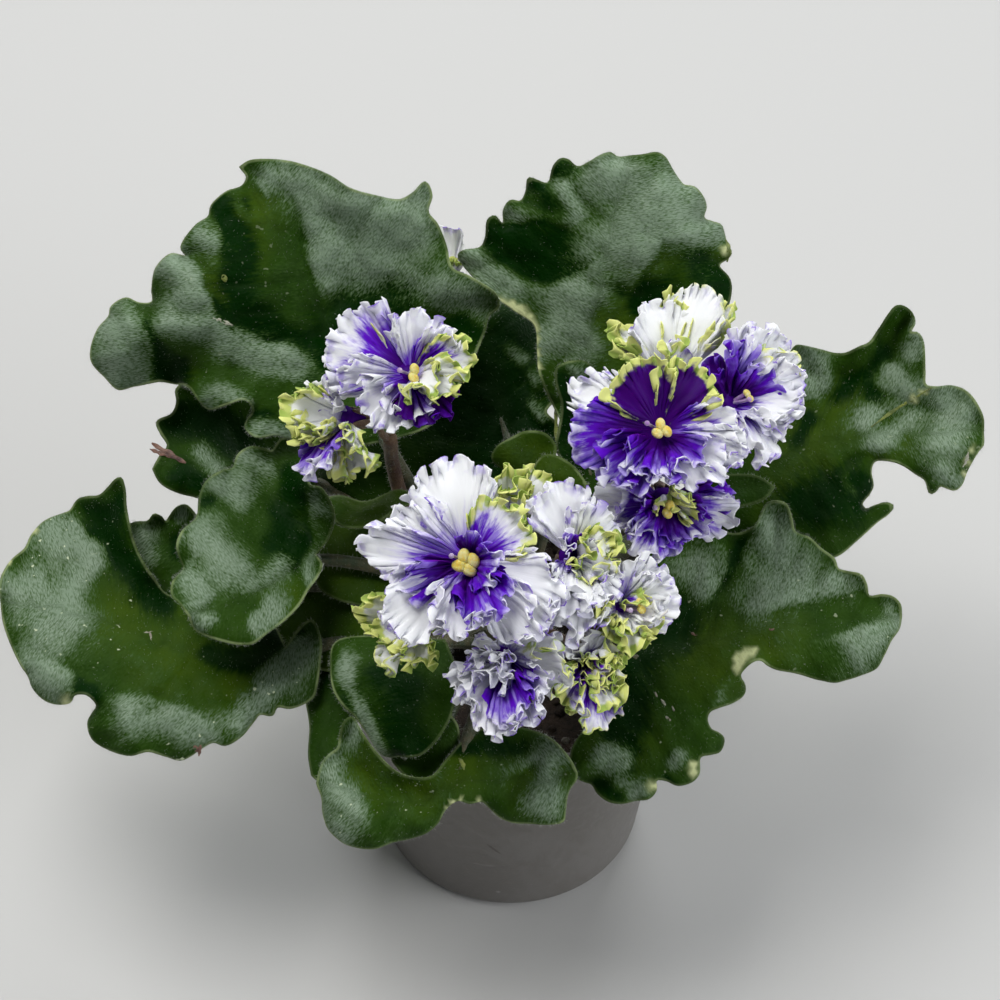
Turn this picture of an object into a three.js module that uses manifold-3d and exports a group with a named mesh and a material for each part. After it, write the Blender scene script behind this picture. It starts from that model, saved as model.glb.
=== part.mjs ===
// A potted african violet: a plastic pot of soil, a short crown, frilled hairy leaves on
// fleshy stalks, and three clusters of double, frilled blooms on forking flower stalks.
// Units are millimetres, +Z is up, and the origin is the middle of the pot's underside.

import * as THREE from 'three';
import { mergeVertices } from 'three/addons/utils/BufferGeometryUtils.js';
import Module from 'manifold-3d';

const wasm = await Module();
wasm.setup();

// ---- driving dimensions -------------------------------------------------------------

const POT_HEIGHT = 78;
const POT_TOP_RADIUS = 45;
const POT_BASE_RADIUS = 35.6;
const POT_BASE_FILLET = 4;
const POT_WALL = 1.6;
const POT_RIM_HEIGHT = 6;
const POT_RIM_STEP = 0.8;
const POT_SIDES = 32;
const DRAIN_HOLES = 5;
const DRAIN_HOLE_RADIUS = 3;
const DRAIN_RING_RADIUS = 24;
const DRAIN_HOLE_SIDES = 10;

const SOIL_LEVEL = 70;
const SOIL_BUMP = 0.55;
const SOIL_SIDES = 24;
const SOIL_RINGS = [0.26, 0.5, 0.76, 1];
const SOIL_ROOM = 0.65;
const CROWN_RADIUS = 7.5;
const CROWN_TOP = 87;
const CROWN_FOOT = 57;
const CROWN_SIDES = 16;

const SEAT_GAP = 0.3;
const LEAF_THICKNESS = 1.2;
const PETIOLE_RADIUS = 1.7;
const PETIOLE_START = 4;
const PETIOLE_SIDES = 5;
const PETIOLE_STEPS = 5;
const PETIOLE_SWING = 0.1;
const RIB_DEPTH = 1;
const PETAL_THICKNESS = 0.7;
const THROAT_RADIUS = 3.2;
const THROAT_DEPTH = 5;
const STALK_RADIUS = 1.5;
const PEDICEL_RADIUS = 0.9;
const CALYX_LENGTH = 4;

// ---- the sighting frame ---------------------------------------------------------------
// Leaves and blooms are laid out as an observer sees them who looks down on the plant at
// SIGHT_ELEVATION. A sighted point is [across, down, height]: across and down are counted
// in quarter millimetres on the sighting plane from its top left corner, and height is the
// real height above the table in millimetres.

const SIGHT_ELEVATION = THREE.MathUtils.degToRad(48);
const SIGHT_DISTANCE = 800;
const SIGHT_AIM_X = -2.8;
const SIGHT_AIM_Z = 126.5;
const SIGHT_STEP = 0.25;
const SIGHT_MIDDLE = 500;
const SIN_E = Math.sin(SIGHT_ELEVATION);
const COS_E = Math.cos(SIGHT_ELEVATION);
const TO_OBSERVER = new THREE.Vector3(0, -COS_E, SIN_E);

function sighted([across, down, height]) {
  const up = (SIGHT_MIDDLE - down) * SIGHT_STEP;
  const rise = height - SIGHT_AIM_Z;
  const depth = (rise - up * COS_E) / (SIN_E - (up * COS_E) / SIGHT_DISTANCE);
  const shrink = 1 - depth / SIGHT_DISTANCE;
  const x = SIGHT_AIM_X + (across - SIGHT_MIDDLE) * SIGHT_STEP * shrink;
  const y = up * shrink * SIN_E - depth * COS_E;
  return new THREE.Vector3(x, y, height);
}

// ---- leaves: spine and both margins, from the stalk to the tip --------------------------

const LEAVES = {
  leaf_back_left: {
    rows: 13, tier: 79, bearing: 125, arch: -0.12,
    spine: [[388, 440, 112], [330, 330, 124], [280, 240, 142], [240, 167, 156]],
    left: [[345, 447, 108], [300, 441, 110], [278, 435, 113], [256, 437, 114], [245, 426, 112],
      [253, 410, 116], [245, 400, 120], [225, 405, 118], [209, 409, 114], [199, 400, 116],
      [194, 385, 122], [193, 368, 126], [180, 356, 127], [163, 366, 122], [160, 380, 116],
      [134, 386, 112], [118, 389, 113], [105, 377, 114], [92, 362, 118], [91, 349, 121],
      [98, 329, 124], [109, 316, 127], [111, 307, 129], [126, 298, 131], [139, 303, 130],
      [152, 302, 128], [152, 290, 133], [156, 268, 138], [171, 254, 142], [186, 256, 140],
      [181, 248, 142], [196, 225, 147], [209, 216, 148], [211, 206, 149], [226, 192, 152],
      [242, 186, 152], [247, 177, 154]],
    right: [[430, 425, 112], [462, 380, 122], [484, 334, 132], [489, 316, 136], [499, 306, 141],
      [496, 294, 146], [470, 277, 144], [452, 268, 141], [446, 246, 143], [437, 224, 147],
      [428, 212, 149], [432, 195, 153], [425, 182, 156], [413, 193, 154], [400, 200, 152],
      [375, 196, 154], [351, 189, 156], [330, 176, 158], [311, 168, 158], [290, 162, 158],
      [270, 160, 157], [250, 161, 157]],
  },
  leaf_back: {
    rows: 13, tier: 78, bearing: 60, arch: 0,
    spine: [[572, 440, 106], [588, 350, 122], [602, 270, 140], [632, 156, 164]],
    left: [[556, 410, 110], [540, 375, 118], [538, 352, 121], [535, 325, 125], [516, 311, 127],
      [498, 298, 129], [475, 278, 132], [458, 256, 134], [463, 251, 136], [481, 247, 138],
      [486, 237, 142], [488, 220, 146], [494, 216, 147], [503, 224, 142], [504, 210, 148],
      [510, 201, 151], [521, 201, 150], [526, 192, 151], [529, 178, 156], [538, 181, 155],
      [548, 183, 153], [554, 166, 159], [561, 159, 161], [568, 160, 161], [578, 167, 159],
      [590, 162, 162], [600, 156, 164], [610, 153, 165], [618, 157, 163]],
    right: [[610, 432, 110], [650, 400, 116], [690, 350, 124], [722, 318, 130], [731, 290, 136],
      [729, 278, 138], [719, 265, 138], [728, 258, 140], [731, 252, 142], [727, 244, 143],
      [724, 233, 144], [721, 225, 146], [713, 222, 147], [704, 218, 147], [706, 207, 150],
      [703, 197, 153], [694, 187, 156], [684, 185, 156], [680, 181, 157], [672, 169, 160],
      [665, 157, 163], [657, 153, 165], [643, 155, 164]],
  },
  leaf_front_left: {
    rows: 14, tier: 73, bearing: 198, arch: 0.06,
    spine: [[286, 648, 84], [240, 660, 85], [160, 645, 87], [80, 615, 89], [1, 600, 86]],
    left: [[268, 618, 80], [225, 602, 80], [190, 600, 82], [166, 594, 86], [155, 580, 90],
      [143, 562, 94], [134, 542, 97], [129, 522, 100], [126, 506, 102], [125, 489, 104],
      [121, 478, 105], [115, 480, 104], [110, 486, 101], [99, 496, 97], [88, 497, 95],
      [78, 500, 93], [70, 511, 91], [62, 514, 90], [45, 521, 90], [32, 535, 89], [25, 549, 89],
      [13, 559, 88], [7, 567, 88], [1, 580, 87]],
    right: [[300, 628, 87], [312, 620, 90], [321, 640, 90], [320, 661, 87], [317, 684, 84],
      [313, 697, 82], [300, 705, 81], [289, 708, 81], [277, 707, 82], [272, 715, 80],
      [260, 714, 81], [253, 722, 79], [241, 736, 78], [225, 745, 77], [213, 742, 78],
      [200, 749, 76], [190, 756, 75], [180, 760, 74], [166, 756, 75], [148, 751, 77],
      [130, 755, 75], [108, 749, 75], [92, 738, 76], [88, 722, 77], [92, 714, 79], [97, 706, 82],
      [93, 699, 84], [85, 694, 85], [74, 695, 84], [70, 702, 81], [58, 704, 79], [45, 700, 80],
      [33, 688, 81], [28, 675, 82], [22, 666, 84], [13, 648, 84], [4, 623, 85]],
  },
  leaf_front_right: {
    rows: 16, tier: 73, bearing: -36, arch: 0.06,
    spine: [[622, 655, 88], [700, 642, 90], [800, 624, 92], [901, 617, 93]],
    left: [[625, 620, 90], [650, 585, 93], [680, 555, 96], [700, 537, 98], [719, 532, 100],
      [735, 534, 99], [745, 532, 101], [756, 525, 105], [762, 512, 109], [768, 503, 112],
      [777, 501, 113], [786, 504, 112], [791, 516, 108], [795, 532, 103], [809, 538, 101],
      [821, 549, 99], [834, 559, 98], [838, 569, 96], [848, 572, 97], [861, 575, 98],
      [866, 583, 97], [869, 596, 94], [883, 595, 96], [893, 597, 96], [900, 604, 95]],
    right: [[600, 690, 84], [590, 720, 82], [572, 751, 81], [574, 775, 78], [583, 781, 77],
      [592, 784, 77], [598, 793, 76], [609, 801, 75], [622, 803, 75], [636, 800, 75],
      [649, 798, 76], [656, 790, 77], [656, 780, 80], [666, 780, 79], [678, 785, 77],
      [694, 780, 77], [699, 773, 78], [700, 757, 82], [710, 754, 81], [720, 751, 80],
      [724, 739, 81], [719, 733, 83], [711, 729, 84], [707, 718, 85], [710, 711, 85],
      [719, 707, 84], [733, 702, 83], [744, 694, 83], [745, 686, 84], [740, 675, 88],
      [752, 662, 92], [760, 660, 92], [768, 665, 90], [777, 669, 88], [798, 673, 86],
      [818, 679, 84], [835, 682, 84], [844, 680, 84], [860, 675, 85], [876, 668, 86],
      [884, 655, 88], [891, 640, 90], [899, 628, 92]],
  },
  leaf_right: {
    rows: 14, tier: 75, bearing: 22, arch: 0.04,
    spine: [[738, 478, 98], [800, 450, 102], [880, 436, 108], [983, 432, 112]],
    left: [[750, 440, 102], [768, 400, 108], [785, 365, 114], [796, 346, 118], [804, 346, 119],
      [820, 350, 118], [836, 354, 118], [847, 353, 119], [859, 347, 121], [869, 343, 122],
      [879, 329, 126], [888, 315, 130], [896, 306, 132], [903, 306, 132], [912, 313, 130],
      [915, 323, 128], [911, 332, 126], [918, 333, 127], [923, 341, 126], [925, 371, 121],
      [926, 385, 118], [937, 387, 119], [951, 386, 120], [964, 390, 119], [972, 397, 118],
      [978, 406, 117], [983, 418, 115]],
    right: [[745, 505, 94], [765, 530, 90], [790, 550, 88], [820, 560, 88], [838, 555, 90],
      [858, 539, 92], [877, 522, 95], [889, 513, 97], [893, 506, 98], [885, 503, 98],
      [874, 506, 97], [866, 509, 96], [862, 504, 97], [870, 493, 98], [873, 486, 98],
      [871, 470, 102], [875, 461, 104], [892, 461, 106], [905, 466, 106], [915, 473, 104],
      [925, 480, 102], [930, 493, 99], [935, 492, 99], [940, 486, 102], [955, 490, 101],
      [962, 484, 102], [966, 473, 104], [979, 450, 109], [983, 445, 110]],
  },
  leaf_front: {
    rows: 15, tier: 79, bearing: 264, arch: 0.03, root: [462, 748, 84],
    spine: [[577, 774, 83], [540, 782, 81], [500, 780, 81], [465, 783, 82], [420, 802, 78],
      [370, 800, 79], [317, 783, 80]],
    left: [[571, 761, 85], [556, 743, 86], [546, 738, 86], [520, 737, 86], [490, 742, 85],
      [465, 744, 84], [448, 760, 84], [432, 776, 85], [418, 778, 86], [399, 773, 87],
      [385, 762, 88], [367, 740, 90], [359, 727, 92], [352, 717, 93], [344, 722, 91],
      [340, 735, 88], [338, 748, 86], [330, 754, 84], [322, 764, 82]],
    right: [[576, 780, 81], [570, 788, 79], [567, 796, 77], [565, 812, 76], [563, 821, 75],
      [549, 824, 74], [530, 823, 74], [512, 822, 74], [500, 817, 75], [491, 809, 77],
      [482, 801, 79], [470, 803, 79], [459, 800, 80], [450, 804, 79], [444, 811, 77],
      [438, 822, 75], [427, 832, 73], [411, 838, 72], [392, 842, 71], [376, 848, 70],
      [362, 848, 70], [346, 844, 71], [336, 837, 72], [328, 828, 73], [323, 812, 75],
      [322, 798, 78]],
  },
  leaf_left: {
    rows: 14, tier: 82, bearing: 178, arch: 0.08,
    spine: [[316, 555, 98], [268, 588, 103], [225, 607, 106], [189, 616, 108]],
    left: [[327, 541, 104], [334, 522, 111], [334, 512, 114], [331, 503, 114], [321, 488, 115], [311, 485, 115],
      [307, 472, 108], [310, 455, 104], [300, 441, 104], [282, 439, 106], [272, 451, 104],
      [265, 449, 108], [251, 447, 109], [238, 455, 108], [233, 468, 106], [222, 471, 110],
      [207, 481, 110], [200, 496, 107], [197, 517, 106], [182, 532, 110], [177, 546, 109],
      [180, 558, 107], [184, 568, 106], [173, 582, 110], [172, 596, 110], [180, 604, 109]],
    right: [[322, 565, 103], [317, 578, 108], [308, 590, 107],
      [300, 604, 107], [285, 620, 106], [267, 633, 105], [253, 643, 104], [240, 644, 104],
      [220, 640, 104], [206, 635, 104], [195, 629, 104]],
  },
  leaf_left_low: {
    rows: 8, tier: 74, bearing: 158, arch: 0.1,
    spine: [[270, 580, 82], [215, 560, 84], [170, 545, 88], [131, 524, 91]],
    left: [[255, 550, 82], [225, 530, 86], [200, 522, 90], [195, 514, 93], [186, 505, 95],
      [177, 507, 95], [170, 516, 92], [166, 522, 90], [160, 516, 94], [154, 514, 95],
      [148, 521, 93], [138, 522, 92]],
    right: [[250, 600, 76], [205, 602, 77], [170, 590, 80], [150, 565, 85], [138, 545, 88]],
  },
  leaf_back_left_low: {
    rows: 8, tier: 74, bearing: 140, arch: 0.04,
    spine: [[318, 478, 90], [250, 468, 94], [200, 465, 95], [153, 469, 94]],
    left: [[310, 440, 94], [270, 410, 98], [225, 385, 102], [190, 380, 104], [176, 390, 103],
      [177, 402, 101], [172, 414, 99], [157, 422, 97], [161, 434, 96], [168, 446, 95],
      [161, 455, 95]],
    right: [[300, 505, 86], [260, 510, 87], [225, 505, 88], [196, 497, 90], [175, 491, 91],
      [160, 482, 92]],
  },
  leaf_inner_front: {
    rows: 8, tier: 83, bearing: 228, arch: 0.06,
    spine: [[445, 640, 98], [425, 690, 96], [408, 757, 86]],
    left: [[336, 642, 92], [331, 667, 91], [334, 690, 90], [344, 706, 89], [355, 716, 87],
      [367, 733, 83], [376, 748, 81], [383, 755, 79], [392, 757, 80], [400, 756, 82]],
    right: [[455, 670, 97], [452, 710, 93], [440, 735, 90], [429, 748, 88], [420, 755, 87],
      [414, 756, 86]],
  },
  leaf_front_low: {
    rows: 6, tier: 72, bearing: 239, arch: 0.1,
    spine: [[448, 712, 84], [432, 740, 82], [400, 770, 77]],
    left: [[435, 712, 83], [418, 722, 82], [402, 740, 79], [392, 758, 77]],
    right: [[458, 728, 83], [457, 752, 80], [440, 776, 78], [415, 782, 75]],
  },
  leaf_front_left_small: {
    rows: 6, tier: 71.6, bearing: 221, arch: 0.12,
    spine: [[350, 700, 84], [328, 735, 79], [312, 775, 74]],
    left: [[335, 695, 82], [318, 712, 80], [312, 735, 78], [306, 755, 76]],
    right: [[352, 730, 81], [342, 760, 77], [325, 785, 74]],
  },
  leaf_inner_back: {
    rows: 8, tier: 78, bearing: 94, arch: 0,
    spine: [[522, 470, 100], [498, 400, 108], [484, 325, 118]],
    left: [[490, 465, 98], [455, 440, 100], [438, 400, 106], [448, 360, 112], [468, 335, 116]],
    right: [[548, 448, 102], [552, 425, 104], [540, 410, 106], [548, 395, 108], [543, 380, 109],
      [530, 372, 111], [537, 360, 113], [530, 348, 114], [515, 345, 115], [510, 330, 117],
      [496, 318, 118]],
  },
  leaf_inner_back_right: {
    rows: 7, tier: 81.4, bearing: 46, arch: 0,
    spine: [[592, 472, 106], [580, 415, 118], [568, 362, 130]],
    left: [[572, 470, 108], [557, 450, 112], [559, 430, 116], [562, 405, 120], [556, 382, 126],
      [557, 368, 129]],
    right: [[612, 450, 110], [612, 410, 117], [600, 380, 123], [585, 362, 129]],
  },
  leaf_right_small: {
    rows: 6, tier: 80, bearing: 10, arch: 0.04,
    spine: [[690, 500, 100], [735, 490, 105], [774, 487, 107]],
    left: [[700, 480, 102], [730, 475, 106], [758, 477, 108]],
    right: [[705, 515, 100], [735, 508, 104], [765, 498, 106]],
  },
  leaf_inner_left: {
    rows: 6, tier: 78, bearing: 152, arch: 0.05,
    spine: [[430, 565, 90], [375, 555, 91], [325, 550, 91]],
    left: [[420, 530, 90], [370, 520, 91], [338, 525, 91]],
    right: [[427, 582, 90], [375, 578, 91], [335, 573, 91]],
  },
  leaf_inner_left_edge: {
    rows: 6, tier: 86, bearing: 182, arch: 0.1,
    spine: [[425, 500, 110], [370, 516, 108], [336, 502, 107]],
    left: [[400, 490, 105], [365, 502, 99], [345, 500, 100]],
    right: [[400, 508, 114], [368, 526, 111], [348, 520, 109]],
  },
  leaf_inner_left_low: {
    rows: 6, tier: 78, bearing: 189, arch: 0.03,
    spine: [[362, 612, 86], [336, 612, 86], [316, 602, 86]],
    left: [[352, 592, 86], [330, 582, 86], [314, 588, 86]],
    right: [[352, 630, 86], [337, 634, 86], [322, 622, 86]],
  },
  leaf_young_back: {
    rows: 5, tier: 83, bearing: 80, arch: 0,
    spine: [[530, 475, 108], [520, 455, 111], [512, 438, 114]],
    left: [[505, 470, 108], [492, 458, 110], [498, 446, 112]],
    right: [[550, 465, 111], [556, 448, 113], [545, 434, 115], [525, 432, 115]],
  },
  leaf_young_right: {
    rows: 5, tier: 88, bearing: 60, arch: 0.04,
    spine: [[532, 486, 110], [556, 470, 114], [588, 486, 112]],
    left: [[535, 466, 112], [547, 455, 114], [570, 464, 115]],
    right: [[542, 494, 109], [560, 486, 111], [575, 492, 110]],
  },
};

// ---- blooms: throat, the way it faces, and its petals -----------------------------------
// face is [turn, lift] in degrees: turn 0 faces the observer's right, -90 the observer.
// A petal is [across, down, height, width] of the middle of its rim.

const BLOOMS = {
  bloom_front_main: {
    throat: [468, 562, 138], face: [-95, 46], reach: 1.25,
    petals: [[452, 468, 145, 26], [362, 540, 136, 17], [383, 628, 132, 25], [478, 646, 130, 22],
      [565, 598, 136, 25], [520, 512, 144, 19]],
  },
  bloom_front_left_low: {
    throat: [418, 625, 120], face: [-140, 30], reach: 0.9,
    petals: [[352, 595, 122, 15], [372, 645, 116, 15], [402, 675, 112, 13], [436, 668, 113, 15]],
  },
  bloom_front_top: {
    throat: [510, 520, 126], face: [-70, 66], reach: 0.8,
    petals: [[496, 464, 134, 15], [528, 492, 134, 13], [552, 474, 130, 12]],
  },
  bloom_front_right_top: {
    throat: [572, 556, 130], face: [-60, 52], reach: 1,
    petals: [[552, 488, 138, 18], [608, 512, 136, 15], [618, 548, 132, 14], [598, 592, 128, 14]],
  },
  bloom_front_bottom: {
    throat: [505, 660, 118], face: [-95, 20], reach: 1,
    petals: [[448, 694, 116, 16], [484, 734, 112, 14], [534, 732, 112, 14], [545, 662, 120, 14]],
  },
  bloom_front_right_low: {
    throat: [588, 660, 114], face: [-60, 14], reach: 0.95,
    petals: [[562, 702, 110, 13], [588, 732, 107, 13], [612, 690, 112, 13], [600, 640, 120, 12]],
  },
  bloom_front_right: {
    throat: [626, 606, 124], face: [-35, 34], reach: 1,
    petals: [[606, 574, 130, 12], [640, 562, 130, 12], [680, 600, 125, 17], [614, 655, 118, 14]],
  },
  bloom_right_main: {
    throat: [660, 430, 150], face: [-88, 48], reach: 1.2,
    petals: [[624, 368, 158, 19], [694, 368, 158, 18], [742, 436, 150, 18], [674, 486, 144, 19],
      [606, 478, 143, 15], [570, 442, 146, 17]],
  },
  bloom_right_top: {
    throat: [672, 382, 138], face: [80, 62], reach: 1,
    petals: [[570, 396, 134, 13], [606, 340, 142, 14], [652, 304, 146, 18], [720, 296, 146, 20]],
  },
  bloom_right_side: {
    throat: [734, 402, 140], face: [-12, 40], reach: 1,
    petals: [[768, 332, 144, 18], [798, 376, 140, 14], [796, 424, 136, 18], [748, 476, 132, 13]],
  },
  bloom_right_low: {
    throat: [664, 500, 130], face: [-80, 22], reach: 1,
    petals: [[596, 492, 128, 14], [640, 536, 123, 14], [688, 538, 122, 14], [738, 516, 125, 14]],
  },
  bloom_left_main: {
    throat: [410, 374, 148], face: [-72, 46], reach: 1.15,
    petals: [[340, 345, 152, 22], [424, 313, 156, 17], [480, 352, 150, 17], [424, 430, 141, 15],
      [372, 424, 140, 15]],
  },
  bloom_left_low: {
    throat: [344, 418, 136], face: [-160, 24], reach: 0.95,
    petals: [[312, 380, 140, 11], [280, 410, 135, 14], [322, 478, 126, 14], [372, 462, 128, 11]],
  },
  bloom_behind: {
    throat: [452, 272, 120], face: [100, 40], reach: 0.9,
    petals: [[444, 226, 132, 8], [462, 262, 124, 6], [430, 250, 120, 8]],
  },
};

// Flower stalks: the way from the crown to the fork, and the blooms that fork carries.

const STALKS = {
  flower_stalk_front: {
    way: [[511, 612, 84], [506, 600, 96], [508, 594, 108]],
    carries: ['bloom_front_main', 'bloom_front_left_low', 'bloom_front_top',
      'bloom_front_right_top', 'bloom_front_bottom', 'bloom_front_right_low',
      'bloom_front_right'],
  },
  flower_stalk_right: {
    way: [[524, 613, 85], [576, 545, 97], [640, 470, 112], [662, 440, 124]],
    carries: ['bloom_right_main', 'bloom_right_top', 'bloom_right_side', 'bloom_right_low'],
  },
  flower_stalk_left: {
    way: [[501, 597, 84], [455, 552, 93.5], [405, 502, 99], [393, 465, 110], [390, 438, 124]],
    carries: ['bloom_left_main', 'bloom_left_low'],
  },
  flower_stalk_behind: {
    way: [[505, 600, 87], [490, 545, 93], [470, 400, 96], [456, 330, 106]],
    carries: ['bloom_behind'],
  },
};

// Anthers: lobes round the throat's axis. [lobes, lobe radius, height above the throat]

const ANTHERS = {
  bloom_front_main: [4, 2.6, 4.2],
  bloom_front_right: [2, 1.6, 4],
  bloom_right_main: [3, 2, 3.6],
  bloom_right_side: [2, 1.5, 3],
  bloom_right_low: [2, 1.6, 3.4],
  bloom_left_main: [2, 2.1, 3.8],
};

// ---- materials ----------------------------------------------------------------------------

function finish(color, roughness) {
  return new THREE.MeshStandardMaterial({ color, roughness, metalness: 0 });
}

const POT_PLASTIC = finish(0x6b6866, 0.5);
const SOIL_MIX = finish(0x1d1511, 0.95);
const CROWN_GREEN = finish(0x4d5a2c, 0.7);
const LEAF_GREEN = finish(0x3f6230, 0.65);
const YOUNG_LEAF_GREEN = finish(0x5c6a2a, 0.65);
const PETAL_WHITE = finish(0xe9e6f2, 0.6);
const POLLEN_YELLOW = finish(0xe8cf5a, 0.7);
const STALK_BROWN = finish(0x5a3a30, 0.6);

// ---- solids ---------------------------------------------------------------------------------

function toSolid(geometry) {
  const bare = geometry.clone();
  bare.deleteAttribute('normal');
  bare.deleteAttribute('uv');
  const merged = mergeVertices(bare, 1e-4);
  const vertProperties = new Float32Array(merged.attributes.position.array);
  const triVerts = new Uint32Array(merged.index.array);
  return new wasm.Manifold(new wasm.Mesh({ numProp: 3, vertProperties, triVerts }));
}

// The outer body alone: pockets that joining has sealed are filled, and loose scraps dropped.
function wholeBody(solid) {
  const bodies = solid.decompose();
  bodies.sort((a, b) => b.volume() - a.volume());
  return bodies[0];
}

function meshFrom(name, solid, material) {
  const { vertProperties, triVerts } = wholeBody(solid).getMesh();
  const geometry = new THREE.BufferGeometry();
  geometry.setAttribute('position', new THREE.BufferAttribute(vertProperties, 3));
  geometry.setIndex(new THREE.BufferAttribute(triVerts, 1));
  geometry.computeVertexNormals();
  const mesh = new THREE.Mesh(geometry, material);
  mesh.name = name;
  return mesh;
}

function lathe(profile, sides) {
  const points = profile.map(([radius, height]) => new THREE.Vector2(radius, height));
  const geometry = new THREE.LatheGeometry(points, sides);
  geometry.rotateX(Math.PI / 2);
  return geometry;
}

function roundSection(radius, sides) {
  const corners = [];
  for (let k = 0; k < sides; k += 1) {
    const angle = (2 * Math.PI * k) / sides;
    corners.push(new THREE.Vector2(radius * Math.cos(angle), radius * Math.sin(angle)));
  }
  return new THREE.Shape(corners);
}

function stem(points, radius, sides, steps) {
  const extrudePath = new THREE.CatmullRomCurve3(points, false, 'centripetal');
  const section = roundSection(radius, sides);
  return toSolid(new THREE.ExtrudeGeometry(section, { steps, extrudePath, bevelEnabled: false }));
}

// A sheet given by its middle surface becomes a solid: every triangle becomes a small block
// between its two faces, and the blocks are joined, so that folds that touch become one.
function thicken(points, triangles, thickness) {
  const sheet = new THREE.BufferGeometry().setFromPoints(points);
  sheet.setIndex(triangles);
  sheet.computeVertexNormals();
  const normal = sheet.attributes.normal;
  const face = (side) => points.map((point, k) => {
    const away = new THREE.Vector3().fromBufferAttribute(normal, k);
    return point.clone().addScaledVector(away, (side * thickness) / 2);
  });
  const upper = face(1);
  const lower = face(-1);
  const blocks = [];
  for (let k = 0; k < triangles.length; k += 3) {
    const corner = triangles.slice(k, k + 3);
    const vertices = [...corner.map((c) => upper[c]), ...corner.map((c) => lower[c])];
    const faces = [0, 1, 2, 3, 5, 4];
    for (const [from, to] of [[0, 1], [1, 2], [2, 0]]) {
      if (corner[from] < corner[to]) faces.push(from, from + 3, to + 3, from, to + 3, to);
      else faces.push(from, from + 3, to, to, from + 3, to + 3);
    }
    const shell = new THREE.BufferGeometry().setFromPoints(vertices);
    shell.setIndex(faces);
    let block = toSolid(shell);
    if (block.volume() < 0) {
      shell.setIndex(faces.reverse());
      block = toSolid(shell);
    }
    blocks.push(block);
  }
  return wasm.Manifold.union(blocks);
}

// ---- pot, soil and crown ----------------------------------------------------------------------

function potRadius(height) {
  return POT_BASE_RADIUS + ((POT_TOP_RADIUS - POT_BASE_RADIUS) * height) / POT_HEIGHT;
}

function pot() {
  const profile = [[0, 0]];
  const filletSteps = 3;
  for (let k = 0; k <= filletSteps; k += 1) {
    const angle = (Math.PI / 2) * (k / filletSteps);
    const radius = POT_BASE_RADIUS - POT_BASE_FILLET * (1 - Math.sin(angle));
    profile.push([radius, POT_BASE_FILLET * (1 - Math.cos(angle))]);
  }
  const rimFoot = POT_HEIGHT - POT_RIM_HEIGHT;
  const inner = POT_BASE_RADIUS - POT_WALL;
  const inset = POT_BASE_FILLET - POT_WALL;
  const chamfer = inset * 0.3;
  profile.push([potRadius(rimFoot), rimFoot]);
  profile.push([potRadius(rimFoot) + POT_RIM_STEP, rimFoot + POT_RIM_STEP]);
  profile.push([POT_TOP_RADIUS + POT_RIM_STEP, POT_HEIGHT]);
  profile.push([POT_TOP_RADIUS - POT_WALL, POT_HEIGHT]);
  profile.push([potRadius(POT_BASE_FILLET) - POT_WALL, POT_BASE_FILLET]);
  profile.push([inner - chamfer, POT_WALL + chamfer]);
  profile.push([inner - inset, POT_WALL]);
  profile.push([0, POT_WALL]);
  let body = toSolid(lathe(profile, POT_SIDES));
  for (let k = 0; k < DRAIN_HOLES; k += 1) {
    const angle = (2 * Math.PI * (k + 0.5)) / DRAIN_HOLES;
    const size = [DRAIN_HOLE_RADIUS, DRAIN_HOLE_RADIUS, POT_BASE_FILLET * 2, DRAIN_HOLE_SIDES];
    const hole = new THREE.CylinderGeometry(...size);
    hole.rotateX(Math.PI / 2);
    hole.translate(DRAIN_RING_RADIUS * Math.cos(angle), DRAIN_RING_RADIUS * Math.sin(angle), 0);
    body = body.subtract(toSolid(hole));
  }
  return meshFrom('pot', body, POT_PLASTIC);
}

function crownProfile(spare) {
  const radius = CROWN_RADIUS + spare;
  return [[0, CROWN_FOOT - spare], [radius * 0.7, CROWN_FOOT - spare], [radius * 0.9, SOIL_LEVEL - 6],
    [radius, SOIL_LEVEL], [radius * 0.95, CROWN_TOP - 8], [radius * 0.7, CROWN_TOP - 2.5 + spare],
    [0, CROWN_TOP + spare]];
}

// Soil fills the pot to a lumpy top, level with the pot's wall at its edge.
function soil(crownRoom) {
  const floor = POT_WALL + SEAT_GAP;
  const knee = POT_BASE_FILLET + 1;
  const reach = (height) => potRadius(height) - POT_WALL - SOIL_ROOM;
  const lump = (angle, ring) => Math.sin(3 * angle + 9 * ring) + Math.sin(7 * angle - 5 * ring);
  const rings = SOIL_RINGS.map((ring) => (angle) => {
    const calm = ring < 1 ? 1 : 0.3;
    return [reach(SOIL_LEVEL) * ring, SOIL_LEVEL + SOIL_BUMP * calm * lump(angle, ring)];
  });
  rings.push(() => [reach(knee), knee]);
  rings.push(() => [POT_BASE_RADIUS - POT_BASE_FILLET - SOIL_ROOM, floor]);
  const points = [new THREE.Vector3(0, 0, SOIL_LEVEL)];
  for (const ring of rings) {
    for (let k = 0; k < SOIL_SIDES; k += 1) {
      const angle = (2 * Math.PI * k) / SOIL_SIDES;
      const [radius, height] = ring(angle);
      points.push(new THREE.Vector3(radius * Math.cos(angle), radius * Math.sin(angle), height));
    }
  }
  points.push(new THREE.Vector3(0, 0, floor));
  const faces = [];
  const last = 1 + (rings.length - 1) * SOIL_SIDES;
  for (let k = 0; k < SOIL_SIDES; k += 1) {
    const next = (k + 1) % SOIL_SIDES;
    faces.push(0, 1 + k, 1 + next);
    for (let here = 1; here < last; here += SOIL_SIDES) {
      const there = here + SOIL_SIDES;
      faces.push(here + k, there + k, there + next, here + k, there + next, here + next);
    }
    faces.push(points.length - 1, last + next, last + k);
  }
  const mass = new THREE.BufferGeometry().setFromPoints(points);
  mass.setIndex(faces);
  return meshFrom('soil', toSolid(mass).subtract(crownRoom), SOIL_MIX);
}

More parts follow.
